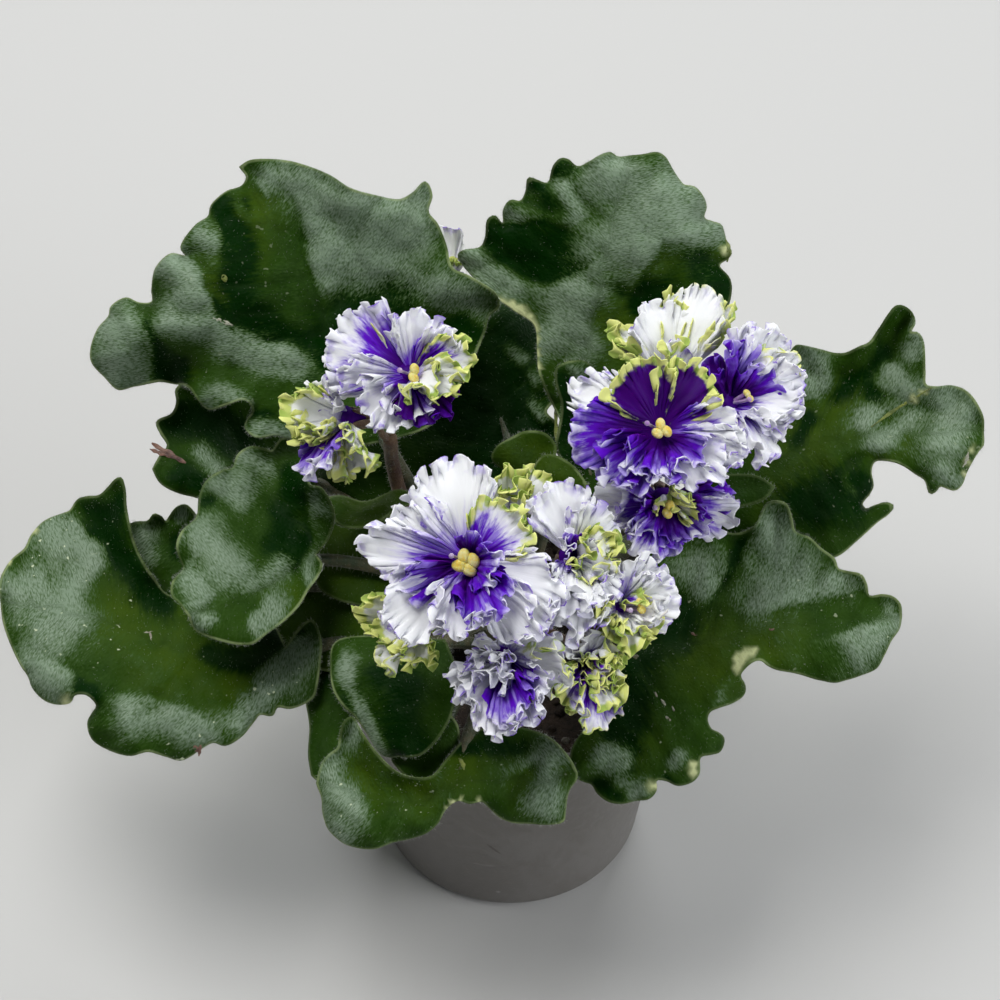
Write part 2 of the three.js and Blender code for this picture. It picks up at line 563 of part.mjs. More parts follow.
// ---- one leaf -------------------------------------------------------------------------------------

const VEIN_END = 0.85;
const VEIN_LEAN = 1.3;
const VEIN_SHIFT = 0.4;
const VEIN_SHIFT_STEP = 0.02;
const BLADE_STEPS = 2;

function sightCurve(points) {
  const knots = points.map((point) => new THREE.Vector3(...point));
  return new THREE.CatmullRomCurve3(knots, false, 'centripetal');
}

function crosses(a, b, c, d) {
  const side = (p, q, r) => (q.x - p.x) * (r.y - p.y) - (q.y - p.y) * (r.x - p.x);
  return side(a, b, c) * side(a, b, d) < 0 && side(c, d, a) * side(c, d, b) < 0;
}

// Side veins leave the spine in pairs, leaning forward. Where a bay of either margin would
// come between a pair's start and its ends, the start moves along the spine to a clearer way.
function veinStarts(spine, rims) {
  const rows = rims[0].length - 1;
  const starts = [0];
  for (let i = 1; i <= rows; i += 1) {
    const least = starts[i - 1] + VEIN_SHIFT_STEP / 2;
    const wanted = Math.max(least, VEIN_END * (i / rows) ** VEIN_LEAN);
    const blocks = (start) => {
      const from = spine.getPointAt(start);
      let count = 0;
      for (const rim of rims) {
        for (let k = 0; k < rows; k += 1) {
          if (k !== i && k !== i - 1 && crosses(from, rim[i], rim[k], rim[k + 1])) count += 1;
        }
      }
      return count;
    };
    let chosen = wanted;
    let fewest = blocks(wanted);
    for (let shift = 0; shift < VEIN_SHIFT && fewest > 0; shift += VEIN_SHIFT_STEP) {
      for (const option of [Math.min(wanted + shift, VEIN_END), Math.max(wanted - shift, least)]) {
        const count = blocks(option);
        if (count < fewest) {
          fewest = count;
          chosen = option;
        }
      }
    }
    starts.push(chosen);
  }
  return starts;
}

// A point of the blade, out from the spine to the margin. The blade stays near its spine's
// height and turns up or down towards the margin.
function bladePoint(inner, rim, out) {
  const turn = 0.45 * out + 0.55 * out ** 3;
  const across = THREE.MathUtils.lerp(inner.x, rim.x, out);
  const down = THREE.MathUtils.lerp(inner.y, rim.y, out);
  const height = THREE.MathUtils.lerp(inner.z, rim.z, turn);
  return sighted([across, down, height]);
}

function blade(leaf) {
  const spine = sightCurve(leaf.spine);
  const root = leaf.spine[0];
  const tip = leaf.spine[leaf.spine.length - 1];
  const points = [];
  const faces = [];
  const found = new Map();
  const indexOf = (point) => {
    const key = [point.x, point.y, point.z].map((value) => Math.round(value * 1000)).join();
    if (!found.has(key)) {
      found.set(key, points.length);
      points.push(point);
    }
    return found.get(key);
  };
  const addFace = (a, b, c) => {
    if (a !== b && b !== c && c !== a) faces.push(a, b, c);
  };
  const rims = [leaf.left, leaf.right].map((outline) => {
    return sightCurve([root, ...outline, tip]).getSpacedPoints(leaf.rows);
  });
  const inner = veinStarts(spine, rims).map((start) => spine.getPointAt(start));
  for (const rim of rims) {
    const turned = rim === rims[1];
    for (let i = 0; i < leaf.rows; i += 1) {
      for (let j = 0; j < BLADE_STEPS; j += 1) {
        const corner = (di, dj) => {
          return indexOf(bladePoint(inner[i + di], rim[i + di], (j + dj) / BLADE_STEPS));
        };
        const quad = [corner(0, 0), corner(1, 0), corner(1, 1), corner(0, 1)];
        if (turned) quad.reverse();
        addFace(quad[0], quad[1], quad[2]);
        addFace(quad[0], quad[2], quad[3]);
      }
    }
  }
  const [a, b, c] = faces.slice(Math.floor(faces.length / 6) * 3).slice(0, 3).map((k) => points[k]);
  const facing = b.clone().sub(a).cross(c.clone().sub(a));
  if (facing.dot(TO_OBSERVER) < 0) {
    for (let k = 0; k < faces.length; k += 3) [faces[k], faces[k + 1]] = [faces[k + 1], faces[k]];
  }
  return thicken(points, faces, LEAF_THICKNESS);
}

// The fleshy stalk leaves the crown at the leaf's tier and bearing, and runs on under the
// blade as its rib. arch is how far it bows up, as a share of its span.
function petiole(leaf) {
  const root = sighted(leaf.root ?? leaf.spine[0]);
  const spine = sightCurve(leaf.spine);
  const ahead = leaf.root ? root.clone() : sighted(spine.getPointAt(0.08));
  const bearing = THREE.MathUtils.degToRad(leaf.bearing);
  const outward = new THREE.Vector3(Math.cos(bearing), Math.sin(bearing), 0);
  const start = outward.clone().multiplyScalar(PETIOLE_START);
  start.z = leaf.tier;
  const span = Math.hypot(root.x, root.y);
  const middle = start.clone().lerp(root, 0.45);
  middle.addScaledVector(outward, PETIOLE_SWING * span * (1 - outward.dot(root) / span));
  middle.z += leaf.arch * span;
  root.z -= RIB_DEPTH;
  ahead.z -= RIB_DEPTH;
  if (leaf.root) ahead.addScaledVector(outward, PETIOLE_RADIUS * 3);
  return stem([start, middle, root, ahead], PETIOLE_RADIUS, PETIOLE_SIDES, PETIOLE_STEPS);
}

function leafMesh(name, leaf, crownRoom) {
  const body = blade(leaf).add(petiole(leaf)).subtract(crownRoom);
  const young = name.includes('young') || name.includes('inner_left');
  return meshFrom(name, body, young ? YOUNG_LEAF_GREEN : LEAF_GREEN);
}

// ---- one bloom --------------------------------------------------------------------------------------

const PETAL_ROWS = 3;
const PETAL_ARCH = 0.13;
const PETAL_SINK = 0.6;
const WIDE_PETAL = 17.5;
const PETAL_FOOT = 1.6;
const PETAL_LAYER = 1.6;
const RIPPLE = 1.3;
const RIPPLES = 9;
const RIPPLE_REACH = 20;
const CROWDING = 6;
const CROWD_REACH = 75;
const CROWD_LIFT = 0.35;
const BLOOM_ROOM = 0.75;

function faceDirection([turn, lift]) {
  const turnAngle = THREE.MathUtils.degToRad(turn);
  const liftAngle = THREE.MathUtils.degToRad(lift);
  const level = Math.cos(liftAngle);
  return new THREE.Vector3(level * Math.cos(turnAngle), level * Math.sin(turnAngle), Math.sin(liftAngle));
}

const heads = Object.entries(BLOOMS).map(([name, bloom]) => {
  const axis = faceDirection(bloom.face);
  const beside = new THREE.Vector3(0, 0, 1).cross(axis).normalize();
  const over = axis.clone().cross(beside);
  const { reach, petals } = bloom;
  return { name, throat: sighted(bloom.throat), axis, beside, over, reach, petals };
});

// Blooms that crowd each other share the room between them: a petal that would reach past the
// plane between two throats is folded up along it.
function crowded(point, head) {
  for (const other of heads) {
    const between = other.throat.clone().sub(head.throat);
    const distance = between.length();
    if (other === head || distance > CROWD_REACH) continue;
    between.divideScalar(distance);
    const limit = (distance * head.reach) / (head.reach + other.reach) - BLOOM_ROOM;
    const past = point.clone().sub(head.throat).dot(between) - (limit - CROWDING);
    if (past > 0) {
      const kept = CROWDING * (1 - Math.exp(-past / CROWDING));
      point.addScaledVector(between, kept - past);
      point.addScaledVector(head.axis, CROWD_LIFT * (past - kept));
    }
  }
  return point;
}

// The rim of every bloom ripples: the ripples are the same for all its petals, so that petals
// lie in layers and seldom cut through each other.
function ripple(point, head) {
  const arm = point.clone().sub(head.throat);
  const turn = Math.atan2(arm.dot(head.over), arm.dot(head.beside));
  const share = Math.min(arm.length() / RIPPLE_REACH, 1.3);
  return RIPPLE * share ** 2 * Math.sin(RIPPLES * turn);
}

// A petal widens from the throat to a round, rippled rim and arches towards the way it faces.
function petal(head, [across, down, height, width], order) {
  const tip = sighted([across, down, height]);
  const level = tip.clone().sub(head.throat).projectOnPlane(head.axis).normalize();
  const foot = head.throat.clone().addScaledVector(level, PETAL_FOOT).addScaledVector(head.axis, -PETAL_SINK);
  const along = tip.clone().sub(foot);
  const length = along.length();
  along.divideScalar(length);
  const side = head.axis.clone().cross(along).normalize();
  const outward = along.clone().cross(side).normalize();
  const columns = width > WIDE_PETAL ? 4 : 3;
  const points = [];
  const faces = [];
  for (let i = 0; i <= PETAL_ROWS; i += 1) {
    const u = i / PETAL_ROWS;
    for (let j = 0; j <= columns; j += 1) {
      const w = (2 * j) / columns - 1;
      const reach = u * (1 - 0.22 * w * w * u);
      const spread = (width / 2) * w * (0.13 + 0.87 * Math.sin(1.9 * u) * (1.06 - 0.2 * u * u));
      const arch = PETAL_ARCH * length * Math.sin(Math.PI * u * 0.9) + PETAL_LAYER * (order % 2) * u;
      const point = foot.clone();
      point.addScaledVector(along, length * reach);
      point.addScaledVector(side, spread);
      point.addScaledVector(outward, arch);
      point.addScaledVector(outward, ripple(point, head));
      points.push(crowded(point, head));
    }
  }
  const stride = columns + 1;
  for (let i = 0; i < PETAL_ROWS; i += 1) {
    for (let j = 0; j < columns; j += 1) {
      const corner = i * stride + j;
      faces.push(corner, corner + stride, corner + stride + 1, corner, corner + stride + 1, corner + 1);
    }
  }
  return thicken(points, faces, PETAL_THICKNESS);
}

function along(axis) {
  return new THREE.Quaternion().setFromUnitVectors(new THREE.Vector3(0, 0, 1), axis);
}

function placed(geometry, axis, origin) {
  geometry.applyQuaternion(along(axis));
  geometry.translate(origin.x, origin.y, origin.z);
  return toSolid(geometry);
}

function throatTube(head) {
  const profile = [[0, -THROAT_DEPTH], [1.5, -THROAT_DEPTH], [THROAT_RADIUS, 0.4], [1.4, 0.9], [0, 0.3]];
  return placed(lathe(profile, 8), head.axis, head.throat);
}

function calyx(head) {
  const top = -THROAT_DEPTH - SEAT_GAP;
  const profile = [[0, top - CALYX_LENGTH], [2.2, top - 1.4], [1.9, top], [0, top]];
  return placed(lathe(profile, 5), head.axis, head.throat);
}

// ---- anthers ----------------------------------------------------------------------------------------

const FILAMENT_RADIUS = 0.7;
const LOBE_FLATNESS = 0.85;

function antherSolid(head, [lobes, radius, height]) {
  const foot = 1.2;
  const length = height - foot + 0.6;
  const filament = new THREE.CylinderGeometry(FILAMENT_RADIUS, FILAMENT_RADIUS, length, 4);
  filament.rotateX(Math.PI / 2);
  filament.translate(0, 0, foot + length / 2);
  let body = placed(filament, head.axis, head.throat);
  for (let k = 0; k < lobes; k += 1) {
    const angle = (2 * Math.PI * (k + 0.5)) / lobes;
    const lobe = new THREE.SphereGeometry(radius, 6, lobes > 3 ? 4 : 3);
    lobe.scale(1, LOBE_FLATNESS, LOBE_FLATNESS);
    lobe.rotateZ(angle);
    const off = radius * (lobes > 2 ? 0.95 : 0.75);
    lobe.translate(off * Math.cos(angle), off * Math.sin(angle), height + radius * 0.4);
    body = body.add(placed(lobe, head.axis, head.throat));
  }
  return body;
}

// ---- flower stalks ---------------------------------------------------------------------------------------

function stalkSolid(stalk, spare) {
  const way = stalk.way.map(sighted);
  let body = stem(way, STALK_RADIUS + spare, 5, 5);
  const fork = way[way.length - 1];
  const before = way[way.length - 2];
  const heading = fork.clone().sub(before).normalize();
  for (const name of stalk.carries) {
    const head = heads.find((entry) => entry.name === name);
    const behind = THROAT_DEPTH + SEAT_GAP + CALYX_LENGTH * 0.9;
    const back = head.throat.clone().addScaledVector(head.axis, -behind);
    const start = fork.clone().addScaledVector(heading, -1);
    const bend = fork.clone().lerp(back, 0.5).addScaledVector(head.axis, -2);
    body = body.add(stem([start, bend, back], PEDICEL_RADIUS + spare, 4, 3));
    if (spare === 0) body = body.add(calyx(head));
  }
  return body;
}

// ---- the whole plant ------------------------------------------------------------------------------------

function build() {
  const plant = new THREE.Group();
  const crownRoom = toSolid(lathe(crownProfile(SEAT_GAP), CROWN_SIDES));
  plant.add(pot(), soil(crownRoom));
  plant.add(meshFrom('crown', toSolid(lathe(crownProfile(0), CROWN_SIDES)), CROWN_GREEN));
  for (const [name, leaf] of Object.entries(LEAVES)) {
    plant.add(leafMesh(name, leaf, crownRoom));
  }
  const stalkRoom = [];
  for (const [name, stalk] of Object.entries(STALKS)) {
    plant.add(meshFrom(name, stalkSolid(stalk, 0).subtract(crownRoom), STALK_BROWN));
    stalkRoom.push(stalkSolid(stalk, SEAT_GAP));
  }
  for (const head of heads) {
    let body = throatTube(head);
    head.petals.forEach((entry, order) => {
      body = body.add(petal(head, entry, order));
    });
    for (const room of stalkRoom) body = body.subtract(room);
    if (ANTHERS[head.name]) {
      const lobes = antherSolid(head, ANTHERS[head.name]);
      plant.add(meshFrom(head.name.replace('bloom', 'anthers'), lobes, POLLEN_YELLOW));
    }
    plant.add(meshFrom(head.name, body, PETAL_WHITE));
  }
  return plant;
}

export default build();
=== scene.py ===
import math

import bmesh
import bpy
import numpy as np
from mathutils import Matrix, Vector, geometry, noise


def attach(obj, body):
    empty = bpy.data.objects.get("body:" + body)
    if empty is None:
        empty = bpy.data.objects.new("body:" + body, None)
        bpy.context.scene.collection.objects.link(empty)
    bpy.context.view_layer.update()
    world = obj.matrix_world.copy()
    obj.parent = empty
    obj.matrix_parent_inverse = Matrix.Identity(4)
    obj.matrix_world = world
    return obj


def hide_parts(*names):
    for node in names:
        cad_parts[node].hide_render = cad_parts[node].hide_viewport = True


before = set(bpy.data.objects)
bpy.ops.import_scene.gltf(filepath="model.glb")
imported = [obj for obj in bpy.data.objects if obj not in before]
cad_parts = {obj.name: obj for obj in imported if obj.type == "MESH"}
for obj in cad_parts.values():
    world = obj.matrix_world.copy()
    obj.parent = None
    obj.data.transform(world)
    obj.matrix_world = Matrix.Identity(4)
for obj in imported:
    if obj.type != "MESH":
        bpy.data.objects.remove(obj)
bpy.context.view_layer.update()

# ---- Camera -----------------------------------------------------------------------------
# The observer stands 800 mm from the plant and looks down on it by 48 degrees. Leaves and
# blooms are laid out as seen from there: a sighted point is [across, down, height], across
# and down in quarter millimetres on the plane through the aim, height in mm above the table.

SIGHT_ELEVATION = math.radians(48)
SIGHT_DISTANCE = 800.0
SIGHT_AIM = np.array([-2.8, 0.0, 126.5])
SIGHT_STEP = 0.25
SIGHT_MIDDLE = 500
SIGHT_WIDTH = 2 * SIGHT_MIDDLE * SIGHT_STEP
SENSOR_WIDTH = 36.0
MM = 0.001
SIN_E = math.sin(SIGHT_ELEVATION)
COS_E = math.cos(SIGHT_ELEVATION)
TO_OBSERVER = np.array([0.0, -COS_E, SIN_E])


def sighted(points):
    """Sighted points, one to a row, as places in millimetres."""
    points = np.asarray(points, float)
    up = (SIGHT_MIDDLE - points[..., 1]) * SIGHT_STEP
    rise = points[..., 2] - SIGHT_AIM[2]
    depth = (rise - up * COS_E) / (SIN_E - up * COS_E / SIGHT_DISTANCE)
    shrink = 1 - depth / SIGHT_DISTANCE
    x = SIGHT_AIM[0] + (points[..., 0] - SIGHT_MIDDLE) * SIGHT_STEP * shrink
    y = up * shrink * SIN_E - depth * COS_E
    return np.stack([x, y, points[..., 2]], -1)


camera_data = bpy.data.cameras.new("camera")
camera_data.sensor_width = SENSOR_WIDTH
camera_data.lens = SENSOR_WIDTH * SIGHT_DISTANCE / SIGHT_WIDTH
camera = bpy.data.objects.new("camera", camera_data)
bpy.context.collection.objects.link(camera)
camera.location = Vector((SIGHT_AIM + SIGHT_DISTANCE * TO_OBSERVER) * MM)
camera.rotation_euler = (math.pi / 2 - SIGHT_ELEVATION, 0, 0)
bpy.context.scene.camera = camera

# ---- Floor and studio light ---------------------------------------------------------------
# A plain pale floor runs out past the view. One large soft lamp stands high behind the
# observer's left shoulder, a second fills from the right and a third lights the rims.
# A lamp is given by its place and size in metres, its power in watts and its tint.

FLOOR_HALF = 3.0
FLOOR_GREY = (0.52, 0.52, 0.51, 1)
LAMP_AIM = Vector((0, 0, 0.09))
LAMPS = {
    "key_lamp": ((-0.45, 0.15, 1.35), 0.8, 16.0, (1.0, 0.99, 0.97)),
    "fill_lamp": ((1.15, -0.60, 0.70), 1.0, 13.0, (0.97, 0.98, 1.0)),
    "rim_lamp": ((0.25, 1.1, 0.9), 0.8, 9.0, (0.96, 0.98, 1.0)),
}
ROOM_TINT = (0.93, 0.95, 1, 1)
ROOM_STRENGTH = 0.17


class Nodes:
    """A node tree. Each method adds a node to it and gives the socket that it puts out."""

    def __init__(self, tree):
        self.tree = tree

    def feed(self, node, values):
        """Fills a node's inputs, each from a socket or a plain value."""
        for label, value in values:
            if isinstance(value, bpy.types.NodeSocket):
                self.tree.links.new(value, node.inputs[label])
            else:
                node.inputs[label].default_value = value

    def put(self, kind, values=(), output=0, **settings):
        """A node of any kind."""
        node = self.tree.nodes.new(kind)
        for key, value in settings.items():
            setattr(node, key, value)
        self.feed(node, values)
        return node.outputs[output]

    def place(self):
        """Where on the object a point lies, in metres."""
        return self.put("ShaderNodeTexCoord", output="Object")

    def sums(self, operation, *values):
        """Arithmetic on sockets and plain numbers."""
        return self.put("ShaderNodeMath", enumerate(values), operation=operation)

    def times(self, *values):
        """The product of two or more."""
        made = values[0]
        for value in values[1:]:
            made = self.sums("MULTIPLY", made, value)
        return made

    def plus(self, first, second):
        """The sum of two."""
        return self.sums("ADD", first, second)

    def less(self, first, second):
        """The first without the second."""
        return self.sums("SUBTRACT", first, second)

    def ranged(self, value, from_low, from_high, to_low=0.0, to_high=1.0, smooth=True):
        """A value carried from one range to another, clamped."""
        inputs = zip(("Value", "From Min", "From Max", "To Min", "To Max"),
                     (value, from_low, from_high, to_low, to_high))
        kind = "SMOOTHSTEP" if smooth else "LINEAR"
        return self.put("ShaderNodeMapRange", inputs, "Result", interpolation_type=kind)

    def mixed(self, mask, first, second):
        """A colour between two others."""
        inputs = ((0, mask), (6, first), (7, second))
        return self.put("ShaderNodeMix", inputs, 2, data_type="RGBA", clamp_factor=True)

    def vector(self, *parts):
        """Three numbers as one vector."""
        return self.put("ShaderNodeCombineXYZ", enumerate(parts))

    def stored(self, label):
        """The three numbers that the mesh stores under a name."""
        source = self.put("ShaderNodeAttribute", output="Vector", attribute_name=label)
        return self.put("ShaderNodeSeparateXYZ", [(0, source)]).node.outputs

    def noise(self, vector, scale, detail, roughness=0.5):
        """Smooth noise about one half."""
        inputs = (("Vector", vector), ("Scale", scale), ("Detail", detail), ("Roughness", roughness))
        return self.put("ShaderNodeTexNoise", inputs, "Fac")


class Skin(Nodes):
    """A new material's nodes, with its Principled shader."""

    def __init__(self, name):
        self.material = bpy.data.materials.new(name)
        self.material.use_nodes = True
        super().__init__(self.material.node_tree)
        self.shader = next(n for n in self.tree.nodes if n.type == "BSDF_PRINCIPLED")

    def shade(self, values):
        """Fills the shader's inputs."""
        self.feed(self.shader, values.items())

    def bump(self, height, distance, strength=1.0):
        """Relief from a height, distance in metres."""
        inputs = (("Height", height), ("Distance", distance), ("Strength", strength))
        self.shade({"Normal": self.put("ShaderNodeBump", inputs, "Normal")})


def soft_lamp(name, place, size, power, tint):
    """A square area lamp turned to the plant."""
    data = bpy.data.lights.new(name, "AREA")
    data.size = size
    data.energy = power
    data.color = tint
    lamp = bpy.data.objects.new(name, data)
    lamp.location = place
    lamp.rotation_euler = (LAMP_AIM - Vector(place)).to_track_quat("-Z", "Y").to_euler()
    bpy.context.collection.objects.link(lamp)


floor_mesh = bpy.data.meshes.new("floor")
floor_mesh.from_pydata(
    [(x * FLOOR_HALF, y * FLOOR_HALF, 0) for x, y in ((-1, -1), (1, -1), (1, 1), (-1, 1))],
    [], [(0, 1, 2, 3)])
floor = bpy.data.objects.new("floor", floor_mesh)
bpy.context.collection.objects.link(floor)
floor_skin = Skin("pale_floor")
floor_skin.shade({"Base Color": FLOOR_GREY, "Roughness": 0.9})
floor_mesh.materials.append(floor_skin.material)
for lamp_name, lamp_facts in LAMPS.items():
    soft_lamp(lamp_name, *lamp_facts)
world = bpy.data.worlds.new("studio")
world.use_nodes = True
Nodes(world.node_tree).feed(world.node_tree.nodes["Background"],
                            (("Color", ROOM_TINT), ("Strength", ROOM_STRENGTH)))
bpy.context.scene.world = world
bpy.context.scene.view_settings.view_transform = "Standard"

# ---- Pot ------------------------------------------------------------------------------------
# A thin-walled nursery pot, injection moulded in grey matt plastic, with a rolled collar at
# the rim, a rounded foot and five drain holes. Handling has left it faintly scratched, with
# one deep scratch and a chip low on the front. Their places and half sizes are in metres.

POT_HEIGHT = 78.0
POT_TOP_RADIUS = 45.0
POT_BASE_RADIUS = 35.6
POT_FILLET = 4.0
POT_WALL = 1.6
POT_COLLAR_HEIGHT = 6.0
POT_COLLAR_STEP = 0.8
POT_COLLAR_FILLET = 1.1
POT_COLLAR_ROLL = 0.8
POT_SUNK_BASE = 1.2
POT_SIDES = 128
POT_DRAINS = 5
POT_DRAIN_RADIUS = 3.0
POT_DRAIN_RING = 24.0
POT_DRAIN_DEPTH = 12.0
POT_DRAIN_SIDES = 24
POT_GREY = (0.140, 0.131, 0.120, 1)
POT_GREY_WORN = (0.165, 0.157, 0.148, 1)
POT_GREY_DARK = (0.060, 0.048, 0.042, 1)
POT_GREY_CHIPPED = (0.30, 0.29, 0.28, 1)
SCRATCH_PLACE = (-0.0045, -0.0391, 0.0322)
SCRATCH_REACH = (0.0040, 0.006, 0.00055)
SCRATCH_TURN = (0, math.radians(52.8), 0)
CHIP_PLACE = (-0.0033, -0.0365, 0.0085)
CHIP_REACH = (0.0009, 0.002, 0.0008)
RUB_STRETCH = (60, 60, 420)
RUB_TURN = (0.25, 0.18, 0.4)


def pot_radius(height):
    """The outer radius of the tapered wall."""
    return POT_BASE_RADIUS + (POT_TOP_RADIUS - POT_BASE_RADIUS) * height / POT_HEIGHT


def arc(middle, radius, start, end, steps):
    """Points of a round corner, from start to end in degrees."""
    angles = np.radians(np.linspace(start, end, steps))
    return [(middle[0] + radius * math.cos(a), middle[1] + radius * math.sin(a)) for a in angles]


def round_about(count, shift=0.0):
    """Even turns about a circle, as a cosine and a sine each."""
    turns = [2 * math.pi * (k + shift) / count for k in range(count)]
    return [(math.cos(turn), math.sin(turn)) for turn in turns]


def placed_mesh(name, vertices, faces):
    """A smooth mesh object from places in millimetres."""
    mesh = bpy.data.meshes.new(name)
    mesh.from_pydata((np.asarray(vertices) * MM).tolist(), [], [tuple(f) for f in faces])
    mesh.update()
    mesh.polygons.foreach_set("use_smooth", [True] * len(mesh.polygons))
    made = bpy.data.objects.new(name, mesh)
    bpy.context.collection.objects.link(made)
    return made


def turned(name, profile, sides):
    """A closed profile of (radius, height) turned about the pot's axis."""
    vertices = [(r * c, r * s, z) for c, s in round_about(sides) for r, z in profile]
    count = len(profile)
    faces = []
    for k in range(sides):
        here = k * count
        there = (k + 1) % sides * count
        for j in range(count - 1):
            faces.append((here + j, there + j, there + j + 1, here + j + 1))
    made = placed_mesh(name, vertices, faces)
    seamed = bmesh.new()
    seamed.from_mesh(made.data)
    bmesh.ops.remove_doubles(seamed, verts=seamed.verts, dist=1e-6)
    bmesh.ops.recalc_face_normals(seamed, faces=seamed.faces)
    seamed.to_mesh(made.data)
    seamed.free()
    return made


def applied(target, kind, **values):
    """Applies one modifier to a mesh object at once."""
    modifier = target.modifiers.new(kind.lower(), kind)
    for key, value in values.items():
        setattr(modifier, key, value)
    depsgraph = bpy.context.evaluated_depsgraph_get()
    shaped = bpy.data.meshes.new_from_object(target.evaluated_get(depsgraph))
    target.modifiers.clear()
    old = target.data
    target.data = shaped
    bpy.data.meshes.remove(old)


collar_foot = POT_HEIGHT - POT_COLLAR_HEIGHT
collar = POT_TOP_RADIUS + POT_COLLAR_STEP
pot_profile = [(0, POT_SUNK_BASE), (POT_BASE_RADIUS - 9, POT_SUNK_BASE), (POT_BASE_RADIUS - 8, 0)]
pot_profile += arc((POT_BASE_RADIUS - POT_FILLET, POT_FILLET), POT_FILLET, -90, -7, 9)
pot_profile += [(pot_radius(collar_foot) - 0.02, collar_foot)]
pot_profile += arc((collar - POT_COLLAR_FILLET, collar_foot + POT_COLLAR_FILLET),
                   POT_COLLAR_FILLET, -60, -5, 5)
pot_profile += arc((collar - POT_COLLAR_ROLL, POT_HEIGHT - POT_COLLAR_ROLL),
                   POT_COLLAR_ROLL, 0, 180, 9)
pot_profile += [(POT_TOP_RADIUS - POT_WALL, POT_HEIGHT - 2)]
pot_profile += [(pot_radius(POT_FILLET) - POT_WALL, POT_FILLET)]
pot_profile += [(POT_BASE_RADIUS - POT_WALL - 2, POT_WALL + POT_SUNK_BASE)]
pot_profile += [(0, POT_WALL + POT_SUNK_BASE)]
pot = turned("plastic_pot", pot_profile, POT_SIDES)
drains = bmesh.new()
for c, s in round_about(POT_DRAINS, 0.5):
    bmesh.ops.create_cone(
        drains, cap_ends=True, segments=POT_DRAIN_SIDES, depth=POT_DRAIN_DEPTH * MM,
        radius1=POT_DRAIN_RADIUS * MM, radius2=POT_DRAIN_RADIUS * MM)
    bmesh.ops.translate(drains, verts=drains.verts[-2 * POT_DRAIN_SIDES:],
                        vec=Vector((c, s, 0)) * POT_DRAIN_RING * MM)
drain_mesh = bpy.data.meshes.new("drains")
drains.to_mesh(drain_mesh)
drains.free()
drain_cutter = bpy.data.objects.new("drains", drain_mesh)
bpy.context.collection.objects.link(drain_cutter)
applied(pot, "BOOLEAN", operation="DIFFERENCE", object=drain_cutter, solver="EXACT")
bpy.data.objects.remove(drain_cutter)


def mottle_group():
    """Two noises of one pattern laid over each other, as a mask from 0 to 1."""
    tree = bpy.data.node_groups.new("mottle", "ShaderNodeTree")
    for label, value in (("Scale", 40.0), ("Fine", 6.0), ("Contrast", 1.6)):
        socket = tree.interface.new_socket(label, in_out="INPUT", socket_type="NodeSocketFloat")
        socket.default_value = value
    tree.interface.new_socket("Mask", in_out="OUTPUT", socket_type="NodeSocketFloat")
    nodes = Nodes(tree)
    place = nodes.place()
    given = tree.nodes.new("NodeGroupInput").outputs
    broad = nodes.noise(place, given["Scale"], 3)
    fine = nodes.noise(place, nodes.times(given["Scale"], given["Fine"]), 5)
    centred = nodes.less(nodes.plus(broad, fine), 1.0)
    spread = nodes.sums("MULTIPLY_ADD", centred, given["Contrast"], 0.5)
    limit = nodes.put("ShaderNodeClamp", [("Value", spread)])
    nodes.feed(tree.nodes.new("NodeGroupOutput"), [("Mask", limit)])
    return tree


mottle = mottle_group()


def mottled(skin, scale, fine, contrast):
    """A place of the mottle group with its own values."""
    inputs = (("Scale", scale), ("Fine", fine), ("Contrast", contrast))
    return skin.put("ShaderNodeGroup", inputs, "Mask", node_tree=mottle)


def spot(skin, where, middle, reach, turn=(0, 0, 0)):
    """A soft oval mask about a place, in metres, of the given half sizes and turn."""
    inputs = (("Vector", where), ("Location", middle), ("Rotation", turn), ("Scale", reach))
    local = skin.put("ShaderNodeMapping", inputs, "Vector", vector_type="TEXTURE")
    fall = skin.put("ShaderNodeTexGradient", [("Vector", local)], "Fac", gradient_type="SPHERICAL")
    return skin.ranged(fall, 0.0, 0.6)


def pot_plastic():
    """Matt grey plastic with a moulded grain, pale rubs and long thin scratches."""
    skin = Skin("pot_plastic")
    rubbed = mottled(skin, 45, 9, 1.5)
    colour = skin.mixed(skin.ranged(rubbed, 0.25, 0.85), POT_GREY, POT_GREY_WORN)
    place = skin.place()
    inputs = (("Vector", place), ("Scale", RUB_STRETCH), ("Rotation", RUB_TURN))
    stretched = skin.put("ShaderNodeMapping", inputs, "Vector")
    line = skin.ranged(skin.noise(stretched, 1.0, 2), 0.705, 0.73)
    colour = skin.mixed(skin.times(line, 0.25), colour, POT_GREY_CHIPPED)
    scratch = spot(skin, place, SCRATCH_PLACE, SCRATCH_REACH, SCRATCH_TURN)
    colour = skin.mixed(skin.times(scratch, 0.7), colour, POT_GREY_DARK)
    chip = spot(skin, place, CHIP_PLACE, CHIP_REACH)
    colour = skin.mixed(skin.times(chip, 0.6), colour, POT_GREY_CHIPPED)
    rough = skin.ranged(rubbed, 0.1, 0.9, 0.42, 0.6, smooth=False)
    skin.shade({"Base Color": colour, "Roughness": rough, "IOR": 1.46})
    skin.bump(skin.less(skin.noise(place, 1400, 2), skin.times(line, 2.0)), 0.00006, 0.6)
    return skin.material


pot.data.materials.clear()
pot.data.materials.append(pot_plastic())
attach(pot, "root")
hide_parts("pot")

# ---- Soil -----------------------------------------------------------------------------------
# Dark, damp peat fills the pot to its brim, with crumbs on top and a few stained perlite
# grains among them. The leaves hide nearly all of it.

